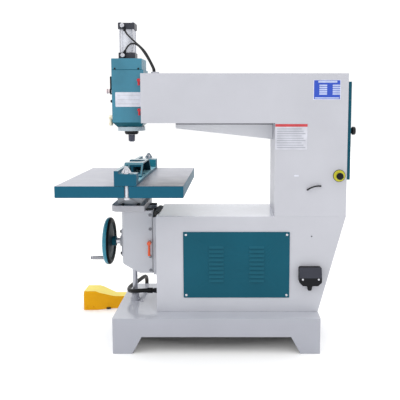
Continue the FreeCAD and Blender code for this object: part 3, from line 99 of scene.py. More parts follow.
def tone(red, green, blue, light=1.0):
    """A base colour that shows as this screen colour under this much light."""
    return tuple(min(linear(v) / light, PALEST) for v in (red, green, blue)) + (1.0,)


def shifted(colour, factor):
    """A colour made darker or lighter."""
    return tuple(min(v * factor, 1.0) for v in colour[:3]) + (1.0,)


class Finish:
    """A material whose nodes are made step by step."""

    def __init__(self, name, metallic=0.0, specular=0.5, coat=0.0):
        self.material = bpy.data.materials.new(name)
        self.material.use_nodes = True
        self.tree = self.material.node_tree
        self.shader = self.tree.nodes["Principled BSDF"]
        self.shader.inputs["Metallic"].default_value = metallic
        self.shader.inputs["Specular IOR Level"].default_value = specular
        self.shader.inputs["Coat Weight"].default_value = coat
        self.shader.inputs["Coat Roughness"].default_value = COAT_ROUGHNESS
        self.coord = self.tree.nodes.new("ShaderNodeTexCoord")
        self.normal = None

    def add(self, kind, **settings):
        """A new node of a kind."""
        item = self.tree.nodes.new("ShaderNode" + kind)
        for key, value in settings.items():
            setattr(item, key, value)
        return item

    def link(self, source, target):
        self.tree.links.new(source, target)

    def noise(self, scale, detail=3.0, stretch=(1, 1, 1)):
        """Cloudy noise, which becomes a grain where it is stretched."""
        mapping = self.add("Mapping")
        mapping.inputs["Scale"].default_value = stretch
        self.link(self.coord.outputs["Object"], mapping.inputs["Vector"])
        texture = self.add("TexNoise")
        texture.inputs["Scale"].default_value = scale
        texture.inputs["Detail"].default_value = detail
        self.link(mapping.outputs["Vector"], texture.inputs["Vector"])
        return texture.outputs["Fac"]

    def cells(self, scale):
        """A pattern of fine cells."""
        texture = self.add("TexVoronoi")
        texture.inputs["Scale"].default_value = scale
        self.link(self.coord.outputs["Object"], texture.inputs["Vector"])
        return texture.outputs["Distance"]

    def spot(self, at, reach):
        """1 at a place seen from above, falling to 0 at its reach along X and Y."""
        mapping = self.add("Mapping")
        mapping.inputs["Location"].default_value = (-at[0] / reach[0], -at[1] / reach[1], 0)
        mapping.inputs["Scale"].default_value = (1 / reach[0], 1 / reach[1], 0)
        self.link(self.coord.outputs["Object"], mapping.inputs["Vector"])
        texture = self.add("TexGradient", gradient_type="SPHERICAL")
        self.link(mapping.outputs["Vector"], texture.inputs["Vector"])
        return texture.outputs["Fac"]

    def height(self, low, high):
        """0 at the lower height and 1 at the upper one."""
        split = self.add("SeparateXYZ")
        self.link(self.coord.outputs["Object"], split.inputs["Vector"])
        spread = self.add("MapRange", clamp=True)
        spread.inputs["From Min"].default_value = low
        spread.inputs["From Max"].default_value = high
        self.link(split.outputs["Z"], spread.inputs["Value"])
        return spread.outputs["Result"]

    def ramp(self, source, *stops):
        """A colour that goes from one stop to the other."""
        ramp = self.add("ValToRGB")
        for element, (place, colour) in zip(ramp.color_ramp.elements, stops):
            element.position = place
            element.color = colour
        self.link(source, ramp.inputs["Fac"])
        return ramp.outputs["Color"]

    def blend(self, first, second, factor, mode="MIX", amount=1.0):
        """Two colours put together by a factor, or by a set amount where there is none."""
        mix = self.add("MixRGB", blend_type=mode)
        if factor is None:
            mix.inputs["Fac"].default_value = amount
        else:
            self.link(factor, mix.inputs["Fac"])
        self.link(first, mix.inputs["Color1"])
        self.link(second, mix.inputs["Color2"])
        return mix.outputs["Color"]

    def mottled(self, source, colour, below, above):
        """A colour that goes from darker to lighter over noise."""
        return self.ramp(source, (LOW_STOP, shifted(colour, below)), (HIGH_STOP, shifted(colour, above)))

    def darkened(self, shade, mask, amount=1.0):
        """A colour multiplied by a mask."""
        return self.blend(shade, mask, None, "MULTIPLY", amount)

    def colour(self, source):
        self.link(source, self.shader.inputs["Base Color"])

    def gloss(self, source, low, high):
        """Roughness that varies between two values."""
        spread = self.add("MapRange", clamp=True)
        spread.inputs["From Min"].default_value = LOW_STOP
        spread.inputs["From Max"].default_value = HIGH_STOP
        spread.inputs["To Min"].default_value = low
        spread.inputs["To Max"].default_value = high
        self.link(source, spread.inputs["Value"])
        self.link(spread.outputs["Result"], self.shader.inputs["Roughness"])

    def bump(self, source, strength, distance):
        """A bump on top of those made before."""
        bump = self.add("Bump")
        bump.inputs["Strength"].default_value = strength
        bump.inputs["Distance"].default_value = distance
        self.link(source, bump.inputs["Height"])
        if self.normal is not None:
            self.link(self.normal, bump.inputs["Normal"])
        self.normal = bump.outputs["Normal"]
        self.link(self.normal, self.shader.inputs["Normal"])


def paint(name, colour, rough=(0.36, 0.48), peel=0.10, mottle=0.03, coat=0.0, specular=0.3, cast=0.0,
          low=None, patch=5.0):
    """Sprayed paint: faint mottling, orange peel, and, where a low colour is given, a colour it turns to near
    the floor, which is painted light where it is lighter and painted shade where it is darker.
    """
    finish = Finish(name, coat=coat, specular=specular)
    broad = finish.noise(patch, detail=4.0)
    shade = finish.mottled(broad, colour, 1 - mottle, 1 + mottle)
    # Near the floor the paint turns to its low colour: painted light where it is lighter, painted shade where
    # it is darker.
    if low is not None:
        low_painted_tone = finish.mottled(broad, low, 1 - mottle, 1 + mottle)
        shade = finish.blend(low_painted_tone, shade, finish.height(PAINTED_LOW_BOTTOM, PAINTED_LOW_TOP))
    fine = finish.noise(FLECK_SCALE, detail=2.0)
    flecks = finish.ramp(fine, (FLECK_STOPS[0], FLECK_SHADE), (FLECK_STOPS[1], WHOLE))
    finish.colour(finish.darkened(shade, flecks, FLECK_AMOUNT))
    finish.gloss(finish.noise(SHEEN_SCALE), *rough)
    if cast:
        finish.bump(finish.noise(CASTING_SCALE, detail=4.0), cast, CASTING_DEPTH)
    finish.bump(finish.noise(PEEL_SCALE, detail=2.0), peel, PEEL_DEPTH)
    return finish.material


def metal(name, colour, rough=(0.25, 0.4), stretch=(1, 1, 1), grain=0.08, scale=500.0, metallic=0.9,
          spread=0.08, shade_spots=()):
    """Ground or brushed metal: a grain along its direction of finishing, stains, and spots of painted shade
    where stated.
    """
    finish = Finish(name, metallic=metallic)
    lines = finish.noise(scale, stretch=stretch)
    cloud = finish.noise(STAIN_SCALE, detail=4.0)
    shade = finish.mottled(lines, colour, 1 - spread, 1 + spread)
    stains = finish.ramp(cloud, (LOW_STOP, STAIN_SHADE), (STAIN_STOP, WHOLE))
    shade = finish.darkened(shade, stains, STAIN_AMOUNT)
    # Spots of painted shade
    for at, reach, depth in shade_spots:
        dark = finish.ramp(finish.spot(at, reach), (0.0, WHOLE), (SHADE_SPOT_STOP, (depth, depth, depth, 1)))
        shade = finish.darkened(shade, dark)
    finish.colour(shade)
    finish.gloss(cloud, *rough)
    finish.bump(lines, grain, GRAIN_DEPTH)
    return finish.material


def plastic(name, colour, rough=(0.42, 0.55), grain=0.25, scale=900.0, specular=0.4):
    """Moulded plastic or rubber with a fine spark-eroded grain."""
    finish = Finish(name, specular=specular)
    cloud = finish.noise(MOULD_SCALE)
    finish.colour(finish.mottled(cloud, colour, *MOULD_SHADES))
    finish.gloss(cloud, *rough)
    finish.bump(finish.cells(scale), grain, MOULD_DEPTH)
    return finish.material


# Light that falls on near faces, on the gusset under the arm and on the table's top
LIGHT = 1.22
ARM_LIGHT = 1.12
TABLE_LIGHT = 1.25
# A painted shadow on the table's top: its middle and reach along X and Y, and its depth
TABLE_SHADOW_SPOT = ((-0.17, -0.40), (0.33, 0.42), 0.24)
# The frame's paint turns a little lighter near the floor: painted light at the pedestal's foot.
FRAME = paint("frame_paint", tone(204, 205, 213, LIGHT), low=tone(208, 210, 218, LIGHT),
              rough=(0.4, 0.48), specular=0.25, peel=0.04)
# The gusset's paint is a lighter copy of the frame's: painted light under the arm.
GUSSET_LIT = paint("gusset_paint_lit", tone(238, 239, 244, ARM_LIGHT), rough=(0.4, 0.48), specular=0.25, peel=0.04)
# Weld beads, painted darker than the frame as the shadow under the arm's edge.
WELD = paint("weld_and_shadow_paint", tone(162, 162, 169, ARM_LIGHT), cast=0.1, rough=(0.4, 0.5), specular=0.2)
BASE_TOP = paint("base_top_paint", tone(204, 206, 215, LIGHT), rough=(0.12, 0.2), specular=0.5, cast=0.02)
# Near black for the base's inner faces: painted shade inside the base.
INSIDE_SHADE = paint("base_inside_shade", tone(36, 36, 39, LIGHT), rough=(0.5, 0.6), specular=0.1)
# A lighter copy of the frame paint for the pedestal's top: painted light from above, over a real glossy
# finish.
UPWARD_LIT = paint("upward_paint_lit", tone(228, 230, 239, LIGHT), rough=(0.1, 0.16), specular=0.7, peel=0.03)
# The base's paint is a darker copy of the frame's, and darker still near the floor: painted shade low on the
# machine.
BASE_SHADED = paint("base_paint_shaded", tone(188, 190, 200, LIGHT), low=tone(178, 180, 190, LIGHT), cast=0.05)
KNEE = paint("knee_paint", tone(202, 204, 212, LIGHT), cast=0.03, rough=(0.36, 0.46), specular=0.3)
TEAL = paint("teal_paint", tone(12, 88, 108, LIGHT), mottle=0.06, rough=(0.4, 0.52), specular=0.15)
# A lighter teal for the louvres' upward lips: painted light from above.
LIP_LIT = paint("teal_lip_lit", tone(17, 94, 114, LIGHT), mottle=0.06, rough=(0.4, 0.5), specular=0.18)
# A lighter teal than the panels': painted sheen of the head's gloss paint.
HEAD_SHEEN_TEAL = paint("head_paint_sheen", tone(66, 134, 158, LIGHT), mottle=0.16, rough=(0.32, 0.42), specular=0.35,
             cast=0.03, patch=9.0)
# A lighter teal for the fence's far block: painted light, as the block lies in shade.
FAR_BLOCK_LIT = paint("far_teal_lit", tone(48, 152, 172, LIGHT), mottle=0.05, rough=(0.26, 0.36))
RING = paint("ring_paint", tone(178, 194, 204, LIGHT), rough=(0.24, 0.34), specular=0.5)
CAST = paint("teal_cast", tone(14, 92, 118, LIGHT), mottle=0.06, cast=0.16, rough=(0.38, 0.5), specular=0.18)
# A lighter teal for the fence's upward faces: painted highlight, over a real gloss coat.
FENCE_TOP_HIGHLIGHT = paint("teal_fence_highlight", tone(52, 126, 146, LIGHT), mottle=0.06, cast=0.08, rough=(0.18, 0.28),
              specular=0.5, coat=0.3)
TAPER = paint("head_shaded", tone(35, 100, 115, LIGHT), mottle=0.05, rough=(0.3, 0.4), cast=0.06)
WHEEL = paint("wheel_paint", tone(50, 134, 158, LIGHT), mottle=0.05, rough=(0.22, 0.34), coat=0.1)
# Near black for the back of the handwheel's rim: painted shade.
RIM_BACK_SHADE = plastic("wheel_rim_back_shade", tone(12, 20, 25, LIGHT), rough=(0.5, 0.6), specular=0.1)
WHEEL_DARK = plastic("wheel_dark", tone(48, 66, 74, LIGHT), rough=(0.5, 0.6), specular=0.15)
# A light grey for the saddle, lighter than its own dark grey cast iron: painted light, as it lies under the
# table.
SADDLE_LIT = paint("saddle_cast_lit", tone(190, 193, 199, LIGHT), cast=0.35, mottle=0.08, rough=(0.5, 0.65))
PLATE = metal("plate_steel", tone(168, 168, 175, LIGHT), stretch=(1, 12, 1), metallic=0.3, rough=(0.4, 0.55))
PLATE_EDGE = metal("plate_edge", tone(196, 196, 203, LIGHT), stretch=(12, 1, 1), metallic=0.2,
                   rough=(0.4, 0.55))
TOP = metal("ground_top", tone(185, 186, 197, TABLE_LIGHT), stretch=(1, 22, 1), metallic=0.35, scale=260.0,
            rough=(0.28, 0.42), spread=0.05, shade_spots=(TABLE_SHADOW_SPOT,))
BRIGHT = metal("bright_steel", tone(205, 206, 212), rough=(0.18, 0.3), scale=200.0, grain=0.02)
CRANK = metal("crank_steel", tone(150, 151, 157), rough=(0.2, 0.3), scale=200.0, grain=0.02)
STEEL = metal("dark_steel", tone(120, 122, 128), rough=(0.25, 0.4))
ROD = metal("screw_steel", tone(176, 178, 186), rough=(0.3, 0.42), stretch=(1, 1, 8), metallic=0.7)
GEAR = metal("gear_steel", tone(150, 150, 154), rough=(0.3, 0.45), scale=300.0)
BLACK = plastic("black_plastic", tone(22, 23, 28, LIGHT), specular=0.16)
SLATE = plastic("slate_plastic", tone(50, 52, 64, LIGHT), specular=0.35)
NUT = metal("blued_steel", tone(74, 76, 90), rough=(0.28, 0.4), metallic=0.6)
BLACK_STEEL = paint("black_steel", tone(20, 21, 25, LIGHT), rough=(0.35, 0.45))
CAPS = metal("black_aluminium", tone(58, 60, 68), rough=(0.35, 0.5), metallic=0.5)
BARREL = paint("aluminium", tone(228, 231, 240, LIGHT), rough=(0.22, 0.32), peel=0.02, mottle=0.02,
               specular=0.5)
YELLOW = plastic("yellow_plastic", tone(216, 210, 56, LIGHT), grain=0.1)
PEDAL = paint("yellow_alloy", tone(244, 176, 2, LIGHT), cast=0.14, mottle=0.05, rough=(0.3, 0.4),
              specular=0.15)
# A paler yellow for the guard's upward faces: painted light from above.
YELLOW_TOP_LIT = paint("yellow_top_lit", tone(251, 229, 96, LIGHT), cast=0.14, mottle=0.05, rough=(0.3, 0.4))
TREAD = plastic("dark_alloy", tone(52, 53, 56, LIGHT), grain=0.4, scale=400.0)
BRASS = metal("brass", tone(222, 214, 192), rough=(0.25, 0.38), metallic=0.7)
RED = paint("red_paint", tone(208, 36, 50, LIGHT), rough=(0.2, 0.3), coat=0.4)
ORANGE = paint("orange_paint", tone(236, 92, 40, LIGHT), rough=(0.2, 0.3), coat=0.4)
HOSE = plastic("hose_rubber", tone(20, 21, 25, LIGHT), rough=(0.28, 0.38), grain=0.12, scale=1200.0)
CONDUIT = plastic("conduit_rubber", tone(9, 10, 13, LIGHT), rough=(0.4, 0.5), grain=0.3, scale=500.0,
                  specular=0.2)
RUBBER = plastic("apron_rubber", tone(44, 45, 48, LIGHT), rough=(0.5, 0.65), grain=0.4, scale=600.0)
WHITE = plastic("white_plate", tone(228, 230, 242, LIGHT), rough=(0.3, 0.4), grain=0.05)
BLUSH = plastic("pale_button", tone(240, 222, 224, LIGHT), rough=(0.25, 0.35), grain=0.05)
PAPER = plastic("notice_paper", tone(215, 216, 226, LIGHT), rough=(0.3, 0.4), grain=0.05)
RULE = plastic("grey_rule", tone(178, 181, 192, LIGHT), rough=(0.3, 0.4), grain=0.05)
BLUE = paint("blue_plate", tone(54, 88, 202, LIGHT), rough=(0.3, 0.4), mottle=0.05)
PALE_BLUE = plastic("pale_rule", tone(196, 208, 244, LIGHT), rough=(0.3, 0.4), grain=0.05)
CRIMSON = plastic("red_band", tone(206, 70, 76, LIGHT), rough=(0.3, 0.4), grain=0.05)
SHADOW = plastic("inside_dark", tone(16, 56, 70, LIGHT), rough=(0.6, 0.7), specular=0.1)
CUT = metal("motor_steel", tone(120, 121, 126), rough=(0.4, 0.55), scale=350.0)

LOOKS = {
    FRAME: ("pedestal", "overarm"),
    GUSSET_LIT: ("arm_gusset",),
    BASE_SHADED: ("base_frame", "elevating_nut"),
    KNEE: ("knee_body", "vertical_way", "bearing_cover"),
    RING: ("head_bottom_ring",),
    TEAL: ("vent_panel", "cabinet_door"),
    HEAD_SHEEN_TEAL: ("head_casing", "head_top_cover"),
    CAST: ("work_table", "fence_body"),
    WHEEL: ("handwheel",),
    SADDLE_LIT: ("table_saddle",),
    PLATE: ("knee_top_plate",),
    BRIGHT: ("spindle_shaft", "collet", "quill_sleeve", "quill_cap", "spindle_bearings", "cylinder_piston",
             "cylinder_tie_rods", "pinion_shaft", "fence_studs", "fence_wing_near", "fence_wing_far"),
    CRANK: ("crank_handle",),
    STEEL: ("crank_pin",),
    ROD: ("elevating_screw",),
    GEAR: ("bevel_gear", "way_gib"),
    NUT: ("collet_nut",),
    CUT: ("motor_stator",),
    BLACK: ("terminal_box", "terminal_box_lid", "cable_glands", "inverter_drive", "stop_button", "jog_button",
            "switch_box", "air_fittings"),
    BLUSH: ("start_button",),
    BLACK_STEEL: ("door_hinges", "door_latch", "spindle_nose_cap"),
    CAPS: ("cylinder_end_caps",),
    BARREL: ("cylinder_barrel",),
    YELLOW: ("stop_ring",),
    PEDAL: ("pedal_guard",),
    TREAD: ("pedal_tread",),
    BRASS: ("blow_nozzle",),
    RED: ("head_clamp_upper", "head_clamp_lower"),
    ORANGE: ("knee_lock_lever",),
    HOSE: ("hose_upper", "hose_lower"),
    CONDUIT: ("pedal_conduit",),
}
for material, names in LOOKS.items():
    for name in names:
        mesh = nodes[name].data
        mesh.materials.clear()
        mesh.materials.append(material)


# Camera

# Degrees below level
CAMERA_DIP = 6.49

camera_data = bpy.data.cameras.new("camera")
camera = bpy.data.objects.new("camera", camera_data)
scene.collection.objects.link(camera)
camera.location = (0.076, -2.826, 1.149)
camera.rotation_euler = (math.radians(90 - CAMERA_DIP), 0, 0)
camera_data.sensor_width = 36
camera_data.lens = 52.66
camera_data.shift_x = -0.0825
camera_data.shift_y = -0.0805
scene.camera = camera


# Cords

UPPER_ROUTE = (
    (-0.4270, -0.0475, 1.4749), (-0.4219, -0.0475, 1.4640), (-0.4087, -0.0470, 1.4498),
    (-0.3910, -0.0460, 1.4326), (-0.3730, -0.0444, 1.4166), (-0.3542, -0.0424, 1.4008),
    (-0.3370, -0.0403, 1.3822), (-0.3232, -0.0382, 1.3600), (-0.3106, -0.0359, 1.3350),
    (-0.2988, -0.0336, 1.3115), (-0.2930, -0.0320, 1.2970), (-0.2930, -0.0320, 1.2860),
)
LOWER_ROUTE = (
    (-0.4270, -0.0475, 1.3851), (-0.4220, -0.0475, 1.3959), (-0.4110, -0.0488, 1.4090),
    (-0.3949, -0.0504, 1.4173), (-0.3785, -0.0516, 1.4153), (-0.3630, -0.0518, 1.4045),
    (-0.3473, -0.0506, 1.3869), (-0.3330, -0.0484, 1.3648), (-0.3182, -0.0461, 1.3400),
    (-0.3060, -0.0437, 1.3146), (-0.2985, -0.0420, 1.2980), (-0.2985, -0.0420, 1.2860),
)
CONDUIT_ROUTE = (
    (-0.315, -0.062, 0.234), (-0.346, -0.062, 0.234), (-0.379, -0.058, 0.231), (-0.410, -0.046, 0.225),
    (-0.434, -0.022, 0.219), (-0.445, 0.012, 0.216), (-0.444, 0.050, 0.217), (-0.434, 0.088, 0.218),
    (-0.421, 0.128, 0.219), (-0.409, 0.168, 0.220), (-0.400, 0.208, 0.219), (-0.395, 0.244, 0.212),
    (-0.394, 0.273, 0.195), (-0.396, 0.292, 0.168), (-0.399, 0.306, 0.138), (-0.404, 0.320, 0.108),
    (-0.412, 0.336, 0.078), (-0.424, 0.352, 0.051), (-0.440, 0.364, 0.032), (-0.460, 0.370, 0.024),
    (-0.481, 0.370, 0.024),
)


def cord(name, points, diameter, material):
    """A free cord along its route, from fitting to fitting."""
    curve = bpy.data.curves.new(name, "CURVE")
    curve.dimensions = "3D"
    curve.bevel_depth = diameter / 2
    curve.bevel_resolution = 6
    curve.resolution_u = 10
    curve.use_fill_caps = True
    spline = curve.splines.new("NURBS")
    spline.points.add(len(points) - 1)
    for point, place in zip(spline.points, points):
        point.co = (*place, 1)
    spline.order_u = 3
    spline.use_endpoint_u = True
    curve.materials.append(material)
    piece = bpy.data.objects.new(name, curve)
    scene.collection.objects.link(piece)
    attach(piece, "frame")
    return piece


upper = cord("air_hose_upper", UPPER_ROUTE, diameter=0.008, material=HOSE)
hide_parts("hose_upper")
lower = cord("air_hose_lower", LOWER_ROUTE, diameter=0.008, material=HOSE)
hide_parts("hose_lower")
conduit = cord("foot_switch_conduit", CONDUIT_ROUTE, diameter=0.020, material=CONDUIT)
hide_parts("pedal_conduit")


# Faces of one node that are finished differently

# Shares of a normal along a direction, for faces that are square to it, face it, lean to it or barely do
SQUARE = 0.9
FACING = 0.5
LEANING = 0.3
BARELY = 0.1
# The same for the back of the handwheel's rim
RIM_BACK = 0.35

# Where the parts of these nodes begin and end, in metres
table_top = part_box("work_table")[1].z
top_skin = 0.001
wheel_low, wheel_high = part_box("handwheel")
wheel_z = (wheel_low.z + wheel_high.z) / 2
wheel_radius = (wheel_high.z - wheel_low.z) / 2
wheel_hub = 0.026
wheel_rim = wheel_radius - 0.026
base_low, base_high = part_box("base_frame")
base_skin = 0.004
fence_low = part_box("fence_body")[0]
fence_floor = fence_low.z + 0.02
hood_half = 0.145
hood_back = fence_low.x + 0.03
# Painted shade inside the fence's hood: its middle, reach along X and Y, and depth
hood_shade_spot = ((fence_low.x + 0.036, 0), (0.058, 0.16), 0.04)
far_wing = 0.2
guard_floor = 0.02
arm_level = 1.0

# Pale cyan on the fence's flange: a painted reflection of the bright backdrop, darkened inside the hood by
# painted shade.
FLANGE_REFLECTION = metal("fence_flange_reflection", tone(150, 208, 222, LIGHT), rough=(0.3, 0.4), scale=60.0, metallic=0.0,
               spread=0.05, shade_spots=(hood_shade_spot,))


def faces(name, material, test):
    """Gives a material to those faces of a node whose middle and normal pass a test."""
    mesh = nodes[name].data
    mesh.materials.append(material)
    slot = len(mesh.materials) - 1
    for face in mesh.polygons:
        if test(face.center, face.normal):
            face.material_index = slot


def off_axis(at):
    """How far a place lies from the handwheel's axis."""
    return math.hypot(at.y, at.z - wheel_z)


def in_base(at):
    """Whether a place lies behind the base's outer faces."""
    return (at.z < base_high.z - base_skin
            and base_low.x + base_skin < at.x < base_high.x - base_skin
            and base_low.y + base_skin < at.y < base_high.y - base_skin)


faces("work_table", TOP, lambda at, normal: normal.z > SQUARE and at.z > table_top - top_skin)
faces("pedal_guard", YELLOW_TOP_LIT, lambda at, normal: normal.z > FACING and at.z > guard_floor)
faces("handwheel", WHEEL_DARK, lambda at, normal: wheel_hub < off_axis(at) < wheel_rim)
faces("handwheel", RIM_BACK_SHADE, lambda at, normal: normal.x > RIM_BACK and off_axis(at) > wheel_rim)
faces("handwheel", TEAL, lambda at, normal: off_axis(at) < wheel_hub)
faces("base_frame", BASE_TOP, lambda at, normal: normal.z > FACING)
# Painted shade on the base's inner faces
faces("base_frame", INSIDE_SHADE, lambda at, normal: normal.z < FACING and in_base(at))
# Painted light on the pedestal's top
faces("pedestal", UPWARD_LIT, lambda at, normal: normal.z > FACING)
faces("head_casing", TAPER, lambda at, normal: normal.z < -LEANING)
faces("cable_glands", FRAME, lambda at, normal: at.z > arm_level)
faces("terminal_box_lid", SLATE, lambda at, normal: normal.z > BARELY)
faces("knee_top_plate", PLATE_EDGE, lambda at, normal: normal.y < -FACING)
# Painted light on the louvres' upward lips
faces("vent_panel", LIP_LIT, lambda at, normal: normal.z > LEANING and normal.y < -LEANING)
faces("fence_body", FENCE_TOP_HIGHLIGHT, lambda at, normal: normal.z > FACING)
faces("fence_body", FLANGE_REFLECTION, lambda at, normal: normal.z > FACING and at.z < fence_floor)
faces("fence_body", FAR_BLOCK_LIT, lambda at, normal: at.y > far_wing and normal.y < -FACING)
faces("fence_body", SHADOW, lambda at, normal: normal.z < -LEANING or (
    abs(at.y) < hood_half and normal.x > SQUARE and at.x < hood_back))


# Softened edges on the solids

def soften(width, *names):
    """Rounds the edges of nodes."""
    for name in names:
        item = nodes[name]
        mesh = item.data
        if "custom_normal" in mesh.attributes:
            mesh.attributes.remove(mesh.attributes["custom_normal"])
        for face in mesh.polygons:
            face.use_smooth = True
        weld = item.modifiers.new("weld", "WELD")
        weld.merge_threshold = 0.00002
        join = item.modifiers.new("flat", "DECIMATE")
        join.decimate_type = "DISSOLVE"
        join.angle_limit = math.radians(1)
        join.delimit = {"MATERIAL"}
        bevel = item.modifiers.new("edges", "BEVEL")
        bevel.width = width
        bevel.segments = 2
        bevel.limit_method = "ANGLE"
        bevel.angle_limit = math.radians(32)
        bevel.harden_normals = True


LARGE_EDGE = 0.003
MEDIUM_EDGE = 0.002
SMALL_EDGE = 0.0015
soften(LARGE_EDGE, "overarm", "pedestal", "base_frame", "arm_gusset", "work_table", "head_casing",
       "head_top_cover")
soften(MEDIUM_EDGE, "knee_body", "table_saddle", "knee_top_plate", "fence_body", "vertical_way",
       "bearing_cover", "pedal_guard")
soften(SMALL_EDGE, "vent_panel", "cabinet_door", "terminal_box", "terminal_box_lid", "cylinder_end_caps",
       "switch_box")


# Pieces that the solids don't have

ALONG_X = 0
ALONG_Y = 1
ALONG_Z = 2
# How deep a loose piece is sunk into what carries it
SEAT = 0.0003
# Bevels of loose pieces
FINE_BEVEL = 0.0004
RIB_BEVEL = 0.0005
BEVEL = 0.0006
SILL_BEVEL = 0.0008
RUBBER_BEVEL = 0.001
# Points on a round piece
SMALL_ROUND = 20
LARGE_ROUND = 28
RING_ROUND = 40
BAR_ROUND = 12
# Steps round a slab's corner
CORNER_STEPS = 4
# Heads in shares of their radius and height, from the middle of the top to the edge
SCREW_HEAD = ((0, 0.45), (0.42, 0.5), (0.46, 1), (0.8, 1), (1, 0.7))
NUT_HEAD = ((0, 1.25), (0.42, 1.25), (0.5, 1.15), (0.5, 1), (0.9, 1), (1, 0.85))


def inset(low, high, by):
    """Two places, this far inside the ends of a span."""
    return low + by, high - by


def proud(y, out):
    """The span along Y of a strip that stands out of a side and is sunk in it by a tenth."""
    return sorted((y + out, y - out / 10))


class Shape:
    """A mesh that is made step by step, and then rides on a body."""

    def __init__(self):
        self.mesh = bmesh.new()

    def circle(self, centre, side, other, radius, count):
        """A ring of points round a centre."""
        angles = [math.tau * step / count for step in range(count)]
        return [self.mesh.verts.new(centre + (side * math.cos(angle) + other * math.sin(angle)) * radius)
                for angle in angles]

    def bridge(self, first, second):
        """Faces between two rings of points, where either may be a single point."""
        count = max(len(first), len(second))
        for index in range(count):
            after = (index + 1) % count
            if len(first) == 1:
                corners = (first[0], second[index], second[after])
            elif len(second) == 1:
                corners = (first[index], second[0], first[after])
            else:
                corners = (first[index], second[index], second[after], first[after])
            self.mesh.faces.new(corners)

    def loft(self, rings):
        """Faces over the first and last ring, and between each ring and the next."""
        self.mesh.faces.new(rings[0])
        self.mesh.faces.new(rings[-1])
        for first, second in zip(rings, rings[1:]):
            self.bridge(first, second)

    def lathe(self, at, axis, profile, count=SMALL_ROUND):
        """Pairs of radius and height along an axis, turned round it."""
        axis = Vector(axis).normalized()
        side = axis.orthogonal().normalized()
        other = axis.cross(side)
        rings = []
        for radius, height in profile:
            centre = Vector(at) + axis * height
            if radius == 0:
                rings.append([self.mesh.verts.new(centre)])
            else:
                rings.append(self.circle(centre, side, other, radius, count))
        for first, second in zip(rings, rings[1:]):
            self.bridge(first, second)

    def head(self, at, axis, radius, height, shares, count):
        """The head of a screw or nut."""
        profile = [(radius * out, height * up) for out, up in shares]
        self.lathe(at, axis, profile + [(radius, -SEAT)], count)

    def screw(self, at, axis, radius, height):
        """A round head with a dished top and a socket."""
        self.head(at, axis, radius, height, SCREW_HEAD, SMALL_ROUND)

    def hexagon(self, at, axis, radius, height):
        """A hexagon nut with a stud's end in it."""
        self.head(at, axis, radius, height, NUT_HEAD, 6)

    def slab(self, low, high, axis, corner):
        """A block with rounded corners, seen along one of the main axes."""
        first, second = [index for index in range(3) if index != axis]
        left = low[first] + corner
        right = high[first] - corner
        bottom = low[second] + corner
        top = high[second] - corner
        outline = []
        for quarter, (u, v) in enumerate(((right, top), (left, top), (left, bottom), (right, bottom))):
            for step in range(CORNER_STEPS + 1):
                angle = (quarter + step / CORNER_STEPS) * math.pi / 2
                outline.append((u + corner * math.cos(angle), v + corner * math.sin(angle)))
        rings = []
        for level in (low[axis], high[axis]):
            ring = []
            for u, v in outline:
                spot = [0, 0, 0]
                spot[axis] = level
                spot[first] = u
                spot[second] = v
                ring.append(self.mesh.verts.new(spot))
            rings.append(ring)
        self.loft(rings)

    def extrude(self, outline, low, high):
        """An outline of X and Z, extruded along Y."""
        self.loft([[self.mesh.verts.new((x, y, z)) for x, z in outline] for y in (low, high)])

    def sweep(self, points, radius):
        """A round bar along points."""
        spots = [Vector(point) for point in points]
        rings = []
        for index, spot in enumerate(spots):
            along = (spots[min(index + 1, len(spots) - 1)] - spots[max(index - 1, 0)]).normalized()
            side = along.cross(Vector(UP)).normalized()
            other = side.cross(along)
            rings.append(self.circle(spot, side, other, radius, BAR_ROUND))
        self.loft(rings)

    def done(self, name, body, material, bevel=0.0):
        """Makes the piece, and puts it on its body."""
        bmesh.ops.recalc_face_normals(self.mesh, faces=self.mesh.faces)
        mesh = bpy.data.meshes.new(name)
        self.mesh.to_mesh(mesh)
        self.mesh.free()
        mesh.materials.append(material)
        for face in mesh.polygons:
            face.use_smooth = True
        mesh.set_sharp_from_angle(angle=math.radians(35))
        piece = bpy.data.objects.new(name, mesh)
        scene.collection.objects.link(piece)
        if bevel:
            edges = piece.modifiers.new("edges", "BEVEL")
            edges.width = bevel
            edges.segments = 2
            edges.limit_method = "ANGLE"
            edges.angle_limit = math.radians(40)
            edges.harden_normals = True
        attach(piece, body)


# Screws, nuts and seals on the frame

face_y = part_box("pedestal")[0].y

panel_low, panel_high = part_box("vent_panel")
panel_inset = 0.013
panel_y = face_y - 0.003
screws = Shape()
for x in inset(panel_low.x, panel_high.x, panel_inset):
    for z in inset(panel_low.z, panel_high.z, panel_inset):
        screws.screw((x, panel_y, z), NEAR, radius=0.0055, height=0.0035)
screws.done("panel_screws", "frame", BRIGHT)

cover_low, cover_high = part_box("head_top_cover")
cover_inset = 0.016
cover_screw_z = cover_low.z + 0.0045
screws = Shape()
for x in inset(cover_low.x, cover_high.x, cover_inset):
    for y, axis in ((cover_low.y, NEAR), (cover_high.y, AWAY)):
        screws.screw((x, y, cover_screw_z), axis, radius=0.0042, height=0.003)
screws.done("cover_screws", "frame", BLACK_STEEL)
seam_out = 0.0004
seam_half = 0.0012
seam = Shape()
seam.slab((cover_low.x - seam_out, cover_low.y - seam_out, cover_low.z - seam_half),
          (cover_high.x + seam_out, cover_high.y + seam_out, cover_low.z + seam_half), ALONG_Z, corner=0.004)
seam.done("cover_gasket", "frame", TEAL)

lid_low, lid_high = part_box("terminal_box_lid")
lid_inset = 0.0155
lid_screw_z = lid_low.z + 0.032
screws = Shape()
for x in inset(lid_low.x, lid_high.x, lid_inset):
    screws.screw((x, lid_low.y, lid_screw_z), NEAR, radius=0.0045, height=0.002)
screws.done("lid_screws", "frame", BRIGHT)

